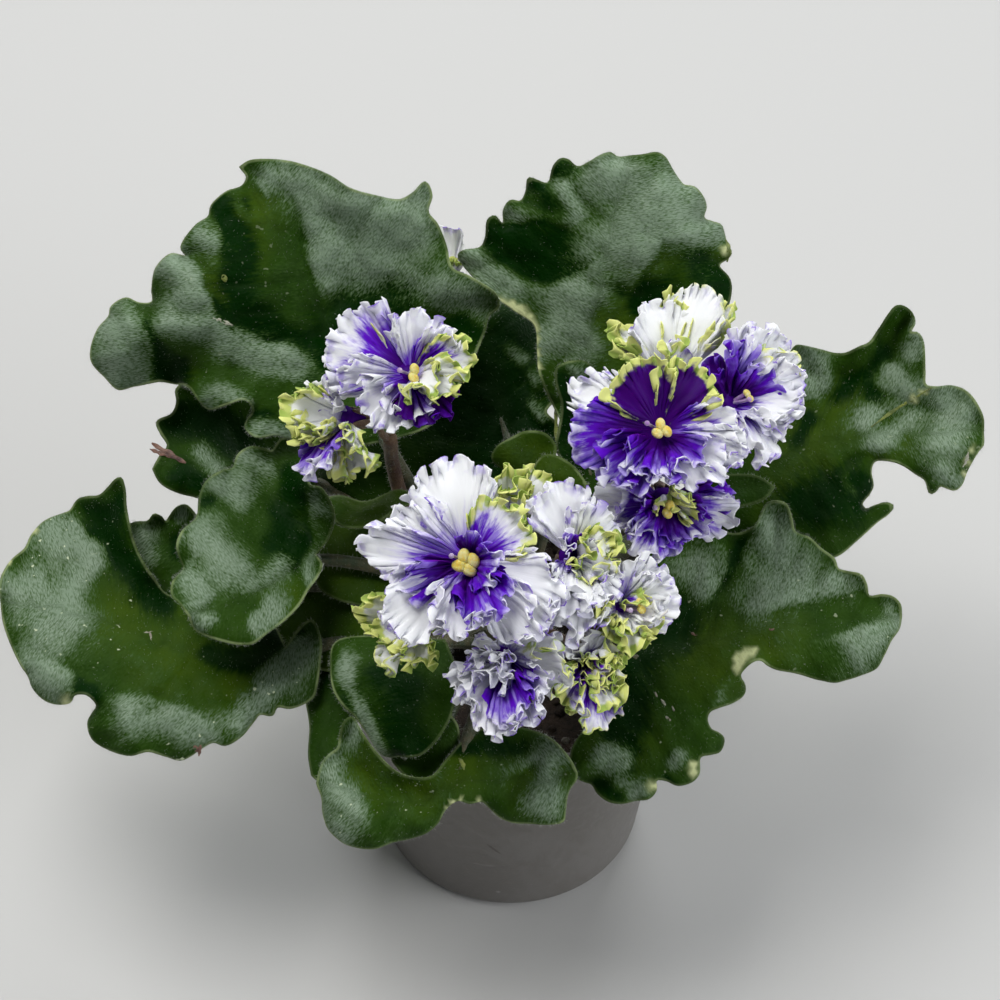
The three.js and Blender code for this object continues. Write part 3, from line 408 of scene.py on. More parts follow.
SOIL_LEVEL = 70.0
SOIL_BUMP = 1.1
SOIL_EDGE = 42.2
SOIL_FOOT = 33.2
SOIL_FLOOR = 2.9
SOIL_RINGS = 34
SOIL_SIDES = 120
CRUMBS = 240
CRUMB_SIZES = (0.5, 1.5)
PERLITE_SHARE = 0.12
PEAT_DAMP = (0.012, 0.008, 0.005, 1)
PEAT_DRY = (0.055, 0.036, 0.024, 1)
PERLITE_DARK = (0.12, 0.11, 0.09, 1)
PERLITE_PALE = (0.3, 0.28, 0.25, 1)


def soil_height(x, y):
    """Lumps of several sizes over the level top."""
    lump = noise.noise(Vector((x, y, 3.0)) * 0.13) + 0.5 * noise.noise(Vector((x, y, 9.0)) * 0.45)
    grit = 0.35 * noise.noise(Vector((x, y, 5.0)) * 1.3)
    fade = min(1.0, max(0.15, (SOIL_EDGE - math.hypot(x, y)) / 5))
    return SOIL_LEVEL + SOIL_BUMP * fade * (lump + grit)


soil_points = [(0.0, 0.0, soil_height(0, 0))]
for ring in range(1, SOIL_RINGS + 1):
    ring_radius = SOIL_EDGE * ring / SOIL_RINGS
    for c, s in round_about(SOIL_SIDES):
        x, y = ring_radius * c, ring_radius * s
        soil_points.append((x, y, soil_height(x, y)))
soil_points += [(SOIL_FOOT * c, SOIL_FOOT * s, SOIL_FLOOR) for c, s in round_about(SOIL_SIDES)]
soil_points.append((0.0, 0.0, SOIL_FLOOR))
soil_faces = []
for k in range(SOIL_SIDES):
    after = (k + 1) % SOIL_SIDES
    soil_faces.append((0, 1 + k, 1 + after))
    for ring in range(SOIL_RINGS):
        here = 1 + ring * SOIL_SIDES
        there = here + SOIL_SIDES
        soil_faces.append((here + k, there + k, there + after, here + after))
    last = 1 + SOIL_RINGS * SOIL_SIDES
    soil_faces.append((last + k, len(soil_points) - 1, last + after))
soil = placed_mesh("soil_bed", soil_points, soil_faces)


def rough_skin(name, mottling, colours, roughness, grain, relief):
    """Two mottled colours over a grain, both given as the mottle group's values."""
    skin = Skin(name)
    skin.shade({"Base Color": skin.mixed(mottled(skin, *mottling), *colours),
                "Roughness": roughness})
    skin.bump(mottled(skin, *grain), relief)
    return skin


soil.data.materials.append(rough_skin("damp_peat", (120, 7, 2.2), (PEAT_DAMP, PEAT_DRY), 0.9,
                                      (500, 5, 2.0), 0.0005).material)
soil.data.materials.append(rough_skin("perlite_grain", (500, 4, 2.0), (PERLITE_DARK, PERLITE_PALE),
                                      0.85, (1500, 3, 2.0), 0.0002).material)
chance = np.random.default_rng(7)
crumbs = bmesh.new()
crumbs.from_mesh(soil.data)
for _ in range(CRUMBS):
    crumb_radius = SOIL_EDGE * 0.97 * math.sqrt(chance.uniform(0.05, 0.95))
    turn = chance.uniform(0, 2 * math.pi)
    x, y = crumb_radius * math.cos(turn), crumb_radius * math.sin(turn)
    size = chance.uniform(*CRUMB_SIZES)
    stained = chance.uniform() < PERLITE_SHARE
    ball = bmesh.ops.create_icosphere(crumbs, subdivisions=2, radius=size * MM)["verts"]
    middle = Vector((x, y, soil_height(x, y) + size * 0.2)) * MM
    for vertex in ball:
        vertex.co *= 1 + 0.35 * noise.noise(vertex.co * 900 + Vector((x, y, 0)))
        vertex.co += middle
    for face in {f for v in ball for f in v.link_faces}:
        face.material_index = int(stained)
        face.smooth = True
crumbs.to_mesh(soil.data)
crumbs.free()
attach(soil, "root")
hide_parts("soil")

# ---- Crown ----------------------------------------------------------------------------------
# The short fleshy stem in the middle of the pot, scarred where old leaves have dropped.
# Every leaf stalk and flower stalk springs from it.

CROWN_RADIUS = 7.5
CROWN_TOP = 87.0
CROWN_FOOT = 60.0
CROWN_GREEN = (0.05, 0.07, 0.02, 1)
CROWN_BROWN = (0.16, 0.12, 0.06, 1)
CROWN_PROFILE = [
    (0, CROWN_FOOT), (CROWN_RADIUS * 0.7, CROWN_FOOT + 0.5),
    (CROWN_RADIUS * 0.9, SOIL_LEVEL - 5), (CROWN_RADIUS * 0.97, SOIL_LEVEL),
    (CROWN_RADIUS * 0.95, CROWN_TOP - 8), (CROWN_RADIUS * 0.7, CROWN_TOP - 2.5), (0, CROWN_TOP)]

crown = turned("plant_crown", CROWN_PROFILE, 32)
applied(crown, "SUBSURF", levels=2, render_levels=2)
for vertex in crown.data.vertices:
    scar = noise.noise(Vector(vertex.co) * 380)
    vertex.co.x *= 1 + 0.08 * scar
    vertex.co.y *= 1 + 0.08 * scar
crown.data.materials.append(rough_skin("crown_skin", (200, 5, 2.2), (CROWN_GREEN, CROWN_BROWN),
                                       0.7, (700, 4, 2.0), 0.0003).material)
crown.data.polygons.foreach_set("use_smooth", [True] * len(crown.data.polygons))
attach(crown, "root")
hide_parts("crown")

# ---- Leaves ---------------------------------------------------------------------------------
# Broad, frilled, hairy leaves, each on a fleshy stalk from the crown. A blade is a thin sheet
# with a rounded rim, and is one mesh with its stalk, its hairs and the marks on its face.

# Each is laid out by its spine and its two margins, from the stalk to the tip, as sighted
# points. Tier is the height at which the stalk leaves the crown, bearing the way it leaves,
# and arch how far it bows.

LEAVES = {
    "leaf_back_left": {
        "tier": 79, "bearing": 125, "arch": -0.12,
        "spine": [(388, 440, 112), (330, 330, 124), (280, 240, 142), (240, 167, 156)],
        "left": [(345, 447, 108), (300, 441, 110), (278, 435, 113), (256, 437, 114),
            (245, 426, 112), (253, 410, 116), (245, 400, 120), (225, 405, 118), (209, 409, 114),
            (199, 400, 116), (190, 388, 116), (182, 384, 112), (176, 384, 110), (168, 382, 112),
            (160, 381, 114), (134, 386, 112), (118, 389, 113), (105, 377, 114), (92, 362, 118),
            (91, 349, 121), (98, 329, 124), (109, 316, 127), (111, 307, 129), (126, 298, 131),
            (139, 303, 130), (152, 302, 128), (152, 290, 133), (156, 268, 138), (171, 254, 142),
            (186, 256, 140), (181, 248, 142), (196, 225, 147), (209, 216, 148), (211, 206, 149),
            (226, 192, 152), (242, 186, 152), (247, 177, 154)],
        "right": [(430, 425, 112), (462, 380, 122), (484, 334, 132), (489, 316, 136),
            (499, 306, 141), (496, 294, 146), (470, 277, 144), (452, 268, 141), (446, 246, 143),
            (437, 224, 147), (428, 212, 149), (432, 195, 153), (425, 182, 156), (413, 193, 154),
            (400, 200, 152), (375, 196, 154), (351, 189, 156), (330, 176, 158), (311, 168, 158),
            (290, 162, 158), (270, 160, 157), (250, 161, 157)],
    },
    "leaf_back": {
        "tier": 78, "bearing": 60, "arch": 0,
        "spine": [(572, 440, 106), (588, 350, 122), (602, 270, 140), (632, 156, 164)],
        "left": [(556, 410, 110), (540, 375, 118), (538, 352, 121), (535, 325, 125),
            (516, 311, 127), (498, 298, 129), (475, 278, 132), (458, 256, 134), (463, 251, 136),
            (481, 247, 138), (486, 237, 142), (488, 220, 146), (494, 216, 147), (503, 224, 142),
            (504, 210, 148), (510, 201, 151), (521, 201, 150), (526, 192, 151), (529, 178, 156),
            (538, 181, 155), (548, 183, 153), (554, 166, 159), (561, 159, 161), (568, 160, 161),
            (578, 167, 159), (590, 162, 162), (600, 156, 164), (610, 153, 165), (618, 157, 163)],
        "right": [(610, 432, 110), (650, 400, 116), (690, 350, 124), (722, 318, 130),
            (731, 290, 136), (729, 278, 138), (719, 265, 138), (728, 258, 140), (731, 252, 142),
            (727, 244, 143), (724, 233, 144), (721, 225, 146), (713, 222, 147), (704, 218, 147),
            (706, 207, 150), (703, 197, 153), (694, 187, 156), (684, 185, 156), (680, 181, 157),
            (672, 169, 160), (665, 157, 163), (657, 153, 165), (643, 155, 164)],
    },
    "leaf_front_left": {
        "tier": 73, "bearing": 198, "arch": 0.06,
        "spine": [(286, 648, 84), (240, 660, 85), (160, 645, 87), (80, 615, 89), (1, 600, 86)],
        "left": [(268, 618, 80), (225, 602, 80), (190, 600, 82), (166, 594, 86), (155, 580, 90),
            (143, 562, 94), (134, 542, 97), (129, 522, 100), (126, 506, 102), (125, 489, 104),
            (121, 478, 105), (115, 480, 104), (110, 486, 101), (99, 496, 97), (88, 497, 95),
            (78, 500, 93), (70, 511, 91), (62, 514, 90), (45, 521, 90), (32, 535, 89),
            (25, 549, 89), (13, 559, 88), (7, 567, 88), (1, 580, 87)],
        "right": [(300, 628, 87), (312, 620, 90), (321, 640, 90), (320, 661, 87), (317, 684, 84),
            (313, 697, 82), (300, 705, 81), (289, 708, 81), (277, 707, 82), (272, 715, 80),
            (260, 714, 81), (253, 722, 79), (241, 736, 78), (225, 745, 77), (213, 742, 78),
            (200, 749, 76), (190, 756, 75), (180, 760, 74), (166, 756, 75), (148, 751, 77),
            (130, 755, 75), (108, 749, 75), (92, 738, 76), (88, 722, 77), (92, 714, 79),
            (97, 706, 82), (93, 699, 84), (85, 694, 85), (74, 695, 84), (70, 702, 81),
            (58, 704, 79), (45, 700, 80), (33, 688, 81), (28, 675, 82), (22, 666, 84),
            (13, 648, 84), (4, 623, 85)],
    },
    "leaf_front_right": {
        "tier": 73, "bearing": -36, "arch": 0.06,
        "spine": [(622, 655, 88), (700, 642, 90), (800, 624, 92), (901, 617, 93)],
        "left": [(606, 606, 88), (632, 568, 91), (658, 545, 95), (690, 533, 98), (719, 532, 100),
            (735, 534, 99), (745, 532, 101), (756, 525, 105), (762, 512, 109), (768, 503, 112),
            (777, 501, 113), (786, 504, 112), (791, 516, 108), (795, 532, 103), (809, 538, 101),
            (821, 549, 99), (834, 559, 98), (838, 569, 96), (848, 572, 97), (861, 575, 98),
            (866, 583, 97), (869, 596, 94), (883, 595, 96), (893, 597, 96), (900, 604, 95)],
        "right": [(600, 690, 84), (590, 720, 82), (572, 751, 81), (574, 775, 78), (583, 781, 77),
            (592, 784, 77), (598, 793, 76), (609, 801, 75), (622, 803, 75), (636, 800, 75),
            (649, 798, 76), (656, 790, 77), (656, 780, 80), (666, 780, 79), (678, 785, 77),
            (694, 780, 77), (699, 773, 78), (700, 757, 82), (710, 754, 81), (720, 751, 80),
            (724, 739, 81), (719, 733, 83), (711, 729, 84), (707, 718, 85), (710, 711, 85),
            (719, 707, 84), (733, 702, 83), (744, 694, 83), (745, 686, 84), (740, 675, 88),
            (752, 662, 92), (760, 660, 92), (768, 665, 90), (777, 669, 88), (798, 673, 86),
            (818, 679, 84), (835, 682, 84), (844, 680, 84), (860, 675, 85), (876, 668, 86),
            (884, 655, 88), (891, 640, 90), (899, 628, 92)],
    },
    "leaf_right": {
        "tier": 75, "bearing": 22, "arch": 0.04,
        "spine": [(712, 496, 96), (800, 450, 102), (880, 436, 108), (983, 432, 112)],
        "left": [(724, 462, 99), (748, 438, 102), (768, 400, 108), (785, 365, 114), (796, 346, 118),
            (804, 346, 119), (820, 350, 118), (836, 354, 118), (847, 353, 119), (859, 347, 121),
            (869, 343, 122), (879, 329, 126), (888, 315, 130), (896, 306, 132), (903, 306, 132),
            (912, 313, 130), (915, 323, 128), (911, 332, 126), (918, 333, 127), (923, 341, 126),
            (925, 371, 121), (926, 385, 118), (937, 387, 119), (951, 386, 120), (964, 390, 119),
            (972, 397, 118), (978, 406, 117), (983, 418, 115)],
        "right": [(712, 524, 91), (736, 552, 87), (765, 566, 86), (790, 564, 87), (820, 560, 88),
            (838, 555, 90), (858, 539, 92), (877, 522, 95), (889, 513, 97), (893, 506, 98), (885, 503, 98),
            (874, 506, 97), (866, 509, 96), (862, 504, 97), (870, 493, 98), (873, 486, 98),
            (871, 470, 102), (875, 461, 104), (892, 461, 106), (905, 466, 106), (915, 473, 104),
            (925, 480, 102), (930, 493, 99), (935, 492, 99), (940, 486, 102), (955, 490, 101),
            (962, 484, 102), (966, 473, 104), (979, 450, 109), (983, 445, 110)],
    },
    "leaf_front": {
        "tier": 79, "bearing": 264, "arch": 0.03, "root": (462, 748, 84),
        "spine": [(577, 774, 83), (540, 782, 81), (500, 780, 81), (465, 783, 82), (420, 802, 78),
            (370, 800, 79), (317, 783, 80)],
        "left": [(571, 761, 85), (556, 743, 86), (547, 737, 85), (532, 731, 83), (512, 727, 81),
            (490, 728, 80), (470, 735, 81), (448, 758, 84), (432, 776, 85), (418, 778, 86),
            (399, 773, 87), (385, 762, 88), (367, 740, 90), (359, 727, 92), (352, 717, 93), (344, 722, 91),
            (340, 735, 88), (338, 748, 86), (330, 754, 84), (322, 764, 82)],
        "right": [(576, 780, 81), (570, 788, 79), (567, 796, 77), (565, 812, 76), (563, 821, 75),
            (549, 824, 74), (530, 823, 74), (512, 822, 74), (500, 817, 75), (491, 809, 77),
            (482, 801, 79), (470, 803, 79), (459, 800, 80), (450, 804, 79), (444, 811, 77),
            (438, 822, 75), (427, 832, 73), (411, 838, 72), (392, 842, 71), (376, 848, 70),
            (362, 848, 70), (346, 844, 71), (336, 837, 72), (328, 828, 73), (323, 812, 75),
            (322, 798, 78)],
    },
    "leaf_left": {
        "tier": 82, "bearing": 178, "arch": 0.08,
        "spine": [(316, 555, 98), (268, 588, 103), (225, 607, 106), (189, 616, 108)],
        "left": [(327, 541, 104), (334, 522, 111), (334, 512, 114), (331, 503, 114),
            (321, 488, 115), (311, 485, 115), (307, 472, 108), (310, 455, 104), (300, 441, 104),
            (282, 439, 106), (272, 451, 104), (265, 449, 108), (251, 447, 109), (238, 455, 108),
            (233, 468, 106), (222, 471, 110), (207, 481, 110), (200, 496, 107), (197, 517, 106),
            (182, 532, 110), (177, 546, 109), (180, 558, 107), (184, 568, 106), (173, 582, 110),
            (172, 596, 110), (180, 604, 109)],
        "right": [(322, 565, 103), (317, 578, 108), (308, 590, 107), (300, 604, 107),
            (285, 620, 106), (267, 633, 105), (253, 643, 104), (240, 644, 104), (220, 640, 104),
            (206, 635, 104), (195, 629, 104)],
    },
    "leaf_left_low": {
        "tier": 74, "bearing": 158, "arch": 0.1,
        "spine": [(270, 580, 82), (215, 560, 84), (170, 545, 88), (131, 524, 91)],
        "left": [(255, 550, 82), (225, 530, 86), (200, 522, 90), (195, 514, 93), (186, 505, 95),
            (177, 507, 95), (170, 516, 92), (166, 522, 90), (160, 516, 94), (154, 514, 95),
            (148, 521, 93), (138, 522, 92)],
        "right": [(250, 604, 74), (205, 608, 74), (164, 604, 76), (138, 576, 81), (126, 548, 85)],
    },
    "leaf_back_left_low": {
        "tier": 74, "bearing": 140, "arch": 0.04,
        "spine": [(318, 478, 90), (250, 468, 94), (200, 465, 95), (153, 469, 94)],
        "left": [(310, 440, 94), (270, 410, 98), (225, 385, 102), (190, 380, 104), (176, 390, 103),
            (177, 402, 101), (172, 414, 99), (157, 422, 97), (161, 434, 96), (168, 446, 95),
            (161, 455, 95)],
        "right": [(300, 505, 86), (260, 510, 87), (225, 505, 88), (196, 497, 90), (175, 491, 91),
            (160, 482, 92)],
    },
    "leaf_inner_front": {
        "tier": 83, "bearing": 228, "arch": 0.06,
        "spine": [(445, 640, 98), (425, 690, 96), (408, 757, 86)],
        "left": [(336, 642, 92), (331, 667, 91), (334, 690, 90), (344, 706, 89), (355, 716, 87),
            (367, 733, 83), (376, 748, 81), (383, 755, 79), (392, 757, 80), (400, 756, 82)],
        "right": [(455, 670, 97), (452, 710, 93), (440, 735, 90), (429, 748, 88), (420, 755, 87),
            (414, 756, 86)],
    },
    "leaf_front_low": {
        "tier": 72, "bearing": 239, "arch": 0.1,
        "spine": [(448, 712, 84), (432, 740, 82), (400, 770, 77)],
        "left": [(435, 712, 83), (418, 722, 82), (402, 740, 79), (392, 758, 77)],
        "right": [(458, 728, 83), (457, 752, 80), (440, 776, 78), (415, 782, 75)],
    },
    "leaf_front_left_small": {
        "tier": 71.6, "bearing": 221, "arch": 0.12,
        "spine": [(352, 664, 82), (328, 725, 78), (312, 775, 74)],
        "left": [(334, 650, 80), (314, 662, 78), (306, 692, 76), (310, 726, 75), (309, 755, 75)],
        "right": [(358, 715, 80), (344, 756, 77), (325, 785, 74)],
    },
    "leaf_inner_back": {
        "tier": 78, "bearing": 94, "arch": 0,
        "spine": [(522, 470, 100), (498, 400, 108), (482, 318, 119)],
        "left": [(495, 484, 95), (440, 506, 92), (385, 510, 89), (328, 496, 86), (318, 466, 87),
            (366, 432, 94), (406, 408, 102),
            (430, 385, 107), (446, 355, 112), (462, 328, 117)],
        "right": [(556, 452, 102), (557, 425, 104), (546, 412, 106), (555, 398, 108),
            (546, 384, 109), (544, 368, 109), (550, 350, 106), (542, 330, 105), (536, 312, 105),
            (516, 300, 108), (498, 300, 114)],
    },
    "leaf_inner_back_right": {
        "tier": 81.4, "bearing": 46, "arch": 0,
        "spine": [(606, 528, 95), (592, 472, 106), (580, 415, 118), (568, 362, 130)],
        "left": [(584, 510, 97), (572, 474, 107), (557, 450, 112), (559, 430, 116), (562, 405, 120),
            (556, 382, 126), (557, 368, 129)],
        "right": [(648, 512, 95), (640, 478, 102), (618, 445, 110), (612, 410, 117),
            (600, 380, 123), (585, 362, 129)],
    },
    "leaf_right_small": {
        "tier": 80, "bearing": 10, "arch": 0.04,
        "spine": [(690, 500, 100), (735, 490, 105), (774, 487, 107)],
        "left": [(700, 480, 102), (730, 475, 106), (758, 477, 108)],
        "right": [(705, 515, 100), (735, 508, 104), (765, 498, 106)],
    },
    "leaf_inner_left": {
        "tier": 78, "bearing": 152, "arch": 0.05,
        "spine": [(430, 565, 90), (375, 560, 91), (318, 556, 90)],
        "left": [(420, 526, 90), (370, 514, 91), (334, 512, 91), (322, 530, 90)],
        "right": [(427, 604, 88), (378, 606, 88), (340, 600, 88), (319, 586, 88)],
    },
    "leaf_inner_left_edge": {
        "tier": 86, "bearing": 182, "arch": 0.1,
        "spine": [(425, 500, 110), (370, 516, 108), (326, 498, 105)],
        "left": [(400, 490, 105), (365, 502, 99), (341, 496, 100)],
        "right": [(400, 508, 114), (368, 527, 111), (338, 524, 108)],
    },
    "leaf_inner_left_low": {
        "tier": 78, "bearing": 189, "arch": 0.03,
        "spine": [(366, 618, 85), (330, 618, 82), (264, 616, 75)],
        "left": [(356, 590, 85), (330, 580, 83), (296, 584, 79), (275, 594, 76)],
        "right": [(360, 668, 83), (337, 672, 81), (312, 666, 78), (286, 650, 75), (268, 634, 74)],
    },
    "leaf_young_back": {
        "tier": 83, "bearing": 80, "arch": 0,
        "spine": [(530, 475, 108), (520, 455, 111), (512, 438, 114)],
        "left": [(505, 470, 108), (492, 458, 110), (498, 446, 112)],
        "right": [(550, 465, 111), (556, 448, 113), (545, 434, 115), (525, 432, 115)],
    },
    "leaf_young_right": {
        "tier": 88, "bearing": 60, "arch": 0.04,
        "spine": [(532, 486, 110), (556, 470, 114), (588, 486, 112)],
        "left": [(535, 466, 112), (547, 455, 114), (570, 464, 115)],
        "right": [(542, 494, 109), (560, 486, 111), (575, 492, 110)],
    },
}

# Places where a blade differs: (across, down, radius) in sighted steps. Olive is thin, young
# tissue that light shines through, pale is a rolled edge that shows its underside, and
# flecks are the white dots of old water drops.
OLIVE = {
    "leaf_back_left": [(230, 240, 42), (262, 205, 30), (220, 285, 26), (180, 375, 18)],
    "leaf_back": [(600, 330, 60), (640, 250, 50), (722, 250, 14), (524, 318, 14), (540, 350, 12)],
    "leaf_front_left": [(180, 650, 62), (120, 620, 40), (235, 690, 40)],
    "leaf_front_right": [(650, 640, 42), (705, 655, 50), (620, 740, 40), (770, 640, 40)],
    "leaf_right": [(800, 440, 52), (850, 415, 40), (780, 500, 34), (890, 440, 30)],
    "leaf_front": [(462, 765, 34), (540, 775, 40), (360, 775, 40), (420, 790, 30)],
    "leaf_left": [(285, 600, 24)],
    "leaf_inner_back": [(552, 405, 22)],
    "leaf_inner_left": [(345, 555, 60)],
    "leaf_inner_left_edge": [(370, 510, 60)],
    "leaf_inner_left_low": [(340, 628, 20)],
    "leaf_young_right": [(555, 470, 50)],
    "leaf_young_back": [(520, 450, 50)],
}
PALE = {
    "leaf_back": [(502, 303, 5), (511, 307, 6), (520, 312, 7), (528, 319, 7), (532, 329, 6),
                  (534, 340, 5), (536, 353, 4), (537, 366, 4), (725, 251, 5)],
    "leaf_front_left": [(35, 531, 4), (10, 562, 3), (66, 700, 5)],
    "leaf_front_right": [(737, 668, 5), (740, 660, 6), (747, 655, 5), (754, 652, 4), (692, 772, 5),
                         (693, 764, 4), (652, 786, 5)],
    "leaf_right": [(972, 450, 4), (967, 462, 4), (964, 474, 3), (915, 399, 4), (924, 392, 3)],
    "leaf_front": [(447, 806, 1.5), (450, 803, 1.5), (454, 801, 1.7), (459, 799, 1.7),
                   (465, 799, 1.7), (471, 801, 1.5), (478, 802, 1.3)],
}
FLECKED = {"leaf_front_left": 0.8, "leaf_front": 0.7, "leaf_front_right": 0.4, "leaf_back_left": 0.15,
           "leaf_right": 0.2}

# Small scars, scabs and dried bits on the blades: each a sighted line and a width.
MARKS = {
    "leaf_back_left": {
        "yellowed": [([(223, 275), (226, 282)], 6)],
        "scarred": [([(213, 318), (224, 322), (234, 326)], 3.5)]},
    "leaf_back_left_low": {
        "dried": [([(152, 443), (166, 452), (186, 463)], 6), ([(150, 449), (168, 456)], 4)]},
    "leaf_front_left": {
        "dried": [([(194, 746), (200, 752)], 5), ([(201, 744), (199, 756)], 3)],
        "scarred": [([(144, 633), (157, 629)], 2.4), ([(150, 631), (152, 641)], 2)]},
    "leaf_front_right": {
        "dried": [([(691, 633), (697, 635)], 3), ([(769, 629), (775, 630)], 3)],
        "scarred": [([(661, 699), (666, 706)], 2.2), ([(664, 715), (672, 722)], 2.2),
                    ([(655, 692), (657, 697)], 2), ([(672, 706), (674, 711)], 2)]},
    "leaf_right": {
        "yellowed": [([(931, 388), (913, 399), (896, 409), (871, 427)], 3)],
        "scarred": [([(968, 452), (965, 466), (962, 477)], 4)]},
    "leaf_back": {
        "yellowed": [([(726, 240), (729, 250), (727, 262)], 4)]},
    "leaf_inner_back": {"yellowed": [([(556, 400), (556, 424), (557, 450)], 3.5)]},
    "leaf_front": {"yellowed": [([(459, 758), (463, 764), (464, 770)], 4)]},
}

# Broad folds: a ridge or a hollow runs from one sighted place to another with a half width, (across, down,
# across, down, half width). Ridges rise a little and carry a painted silvery sheen, hollows sink a little
# and carry painted deep-green shade.
LIT_RIDGES = {
    "leaf_back_left": [
        (312, 178, 338, 268, 17), (415, 205, 384, 262, 22), (360, 205, 372, 250, 22),
        (172, 318, 287, 362, 13), (415, 285, 480, 302, 11), (112, 330, 126, 368, 20),
        (172, 262, 192, 298, 12), (200, 234, 206, 240, 10), (216, 392, 236, 400, 8),
        (256, 428, 290, 436, 8), (268, 176, 284, 190, 9), (300, 372, 250, 352, 9)],
    "leaf_back": [
        (600, 172, 690, 205, 20), (655, 210, 680, 228, 24), (706, 232, 716, 238, 10),
        (508, 206, 514, 212, 7), (568, 184, 574, 212, 6), (468, 260, 506, 288, 11),
        (568, 300, 546, 346, 15), (600, 255, 640, 235, 20), (590, 300, 580, 350, 10)],
    "leaf_front_left": [
        (52, 528, 60, 536, 14), (32, 590, 58, 630, 22), (40, 668, 56, 684, 14),
        (132, 716, 200, 732, 13), (236, 718, 262, 704, 10), (280, 686, 296, 656, 15),
        (88, 560, 70, 600, 12)],
    "leaf_front_right": [
        (772, 530, 790, 576, 15), (790, 582, 758, 606, 16), (696, 566, 706, 584, 16),
        (832, 586, 846, 590, 9), (860, 650, 874, 640, 15), (892, 614, 890, 622, 7),
        (600, 758, 622, 762, 9), (632, 790, 642, 786, 6), (678, 762, 684, 752, 7)],
    "leaf_right": [
        (810, 368, 814, 386, 12), (894, 368, 906, 388, 7), (946, 404, 950, 436, 19),
        (946, 470, 952, 480, 7), (858, 420, 872, 414, 8), (915, 334, 918, 350, 6),
        (905, 420, 880, 440, 10)],
    "leaf_front": [
        (332, 766, 346, 806, 12), (336, 826, 350, 836, 9), (350, 728, 352, 740, 6),
        (552, 754, 542, 800, 13)],
    "leaf_inner_front": [(348, 660, 354, 684, 6), (360, 702, 386, 750, 6)],
    "leaf_left": [
        (220, 484, 236, 492, 12), (200, 536, 232, 570, 15), (188, 582, 200, 590, 9),
        (200, 616, 208, 622, 7), (262, 624, 272, 610, 10), (312, 566, 316, 580, 6),
        (318, 502, 322, 512, 5), (252, 460, 262, 466, 10), (250, 585, 280, 572, 8)],
    "leaf_left_low": [(146, 534, 152, 548, 10), (180, 512, 184, 516, 5)],
    "leaf_back_left_low": [(204, 456, 212, 464, 8)],
    "leaf_inner_back": [(534, 380, 540, 388, 5), (534, 408, 540, 416, 5), (512, 352, 520, 358, 5)],
    "leaf_inner_back_right": [(572, 368, 578, 376, 5), (594, 362, 600, 370, 6)],
    "leaf_front_low": [(340, 735, 346, 745, 5)],
}
SHADED_HOLLOWS = {
    "leaf_back_left": [
        (224, 204, 250, 322, 15), (250, 322, 312, 372, 20), (335, 308, 402, 290, 17),
        (146, 320, 160, 368, 7), (192, 310, 216, 316, 7), (172, 372, 184, 374, 10),
        (345, 350, 380, 330, 24), (238, 410, 262, 415, 7), (440, 330, 470, 325, 12)],
    "leaf_back": [
        (510, 243, 568, 259, 22), (556, 165, 562, 170, 8), (538, 194, 548, 205, 9),
        (700, 268, 724, 286, 18), (620, 290, 650, 296, 18), (480, 232, 486, 240, 8)],
    "leaf_front_left": [
        (99, 516, 128, 566, 14), (140, 585, 160, 610, 16), (262, 652, 290, 632, 12),
        (112, 500, 118, 490, 8), (208, 650, 240, 668, 9), (72, 684, 92, 694, 7)],
    "leaf_front_right": [
        (684, 616, 640, 650, 24), (632, 700, 618, 740, 22), (735, 546, 722, 580, 8),
        (620, 650, 640, 600, 16), (600, 780, 614, 790, 6), (668, 780, 676, 786, 5)],
    "leaf_right": [
        (892, 340, 872, 372, 9), (874, 396, 880, 400, 9), (812, 424, 800, 440, 12),
        (800, 500, 838, 500, 26), (862, 488, 858, 506, 9), (842, 395, 850, 380, 10)],
    "leaf_front": [
        (396, 760, 420, 766, 10), (488, 742, 528, 750, 12), (455, 745, 470, 750, 8)],
    "leaf_inner_front": [(404, 690, 412, 740, 18), (350, 700, 356, 720, 10), (380, 668, 392, 680, 10)],
    "leaf_left": [
        (284, 515, 282, 540, 16), (292, 552, 286, 562, 12), (206, 503, 210, 508, 6),
        (290, 470, 300, 490, 12)],
    "leaf_left_low": [(180, 540, 178, 560, 7)],
    "leaf_back_left_low": [(180, 420, 220, 430, 18), (230, 440, 250, 450, 14), (185, 478, 200, 482, 10)],
    "leaf_inner_back": [(470, 400, 520, 440, 60), (500, 345, 520, 330, 20)],
    "leaf_inner_back_right": [(570, 400, 575, 440, 26), (590, 390, 600, 400, 16)],
    "leaf_front_low": [(330, 700, 340, 760, 30)],
    "leaf_front_left_small": [(325, 620, 330, 660, 30)],
}
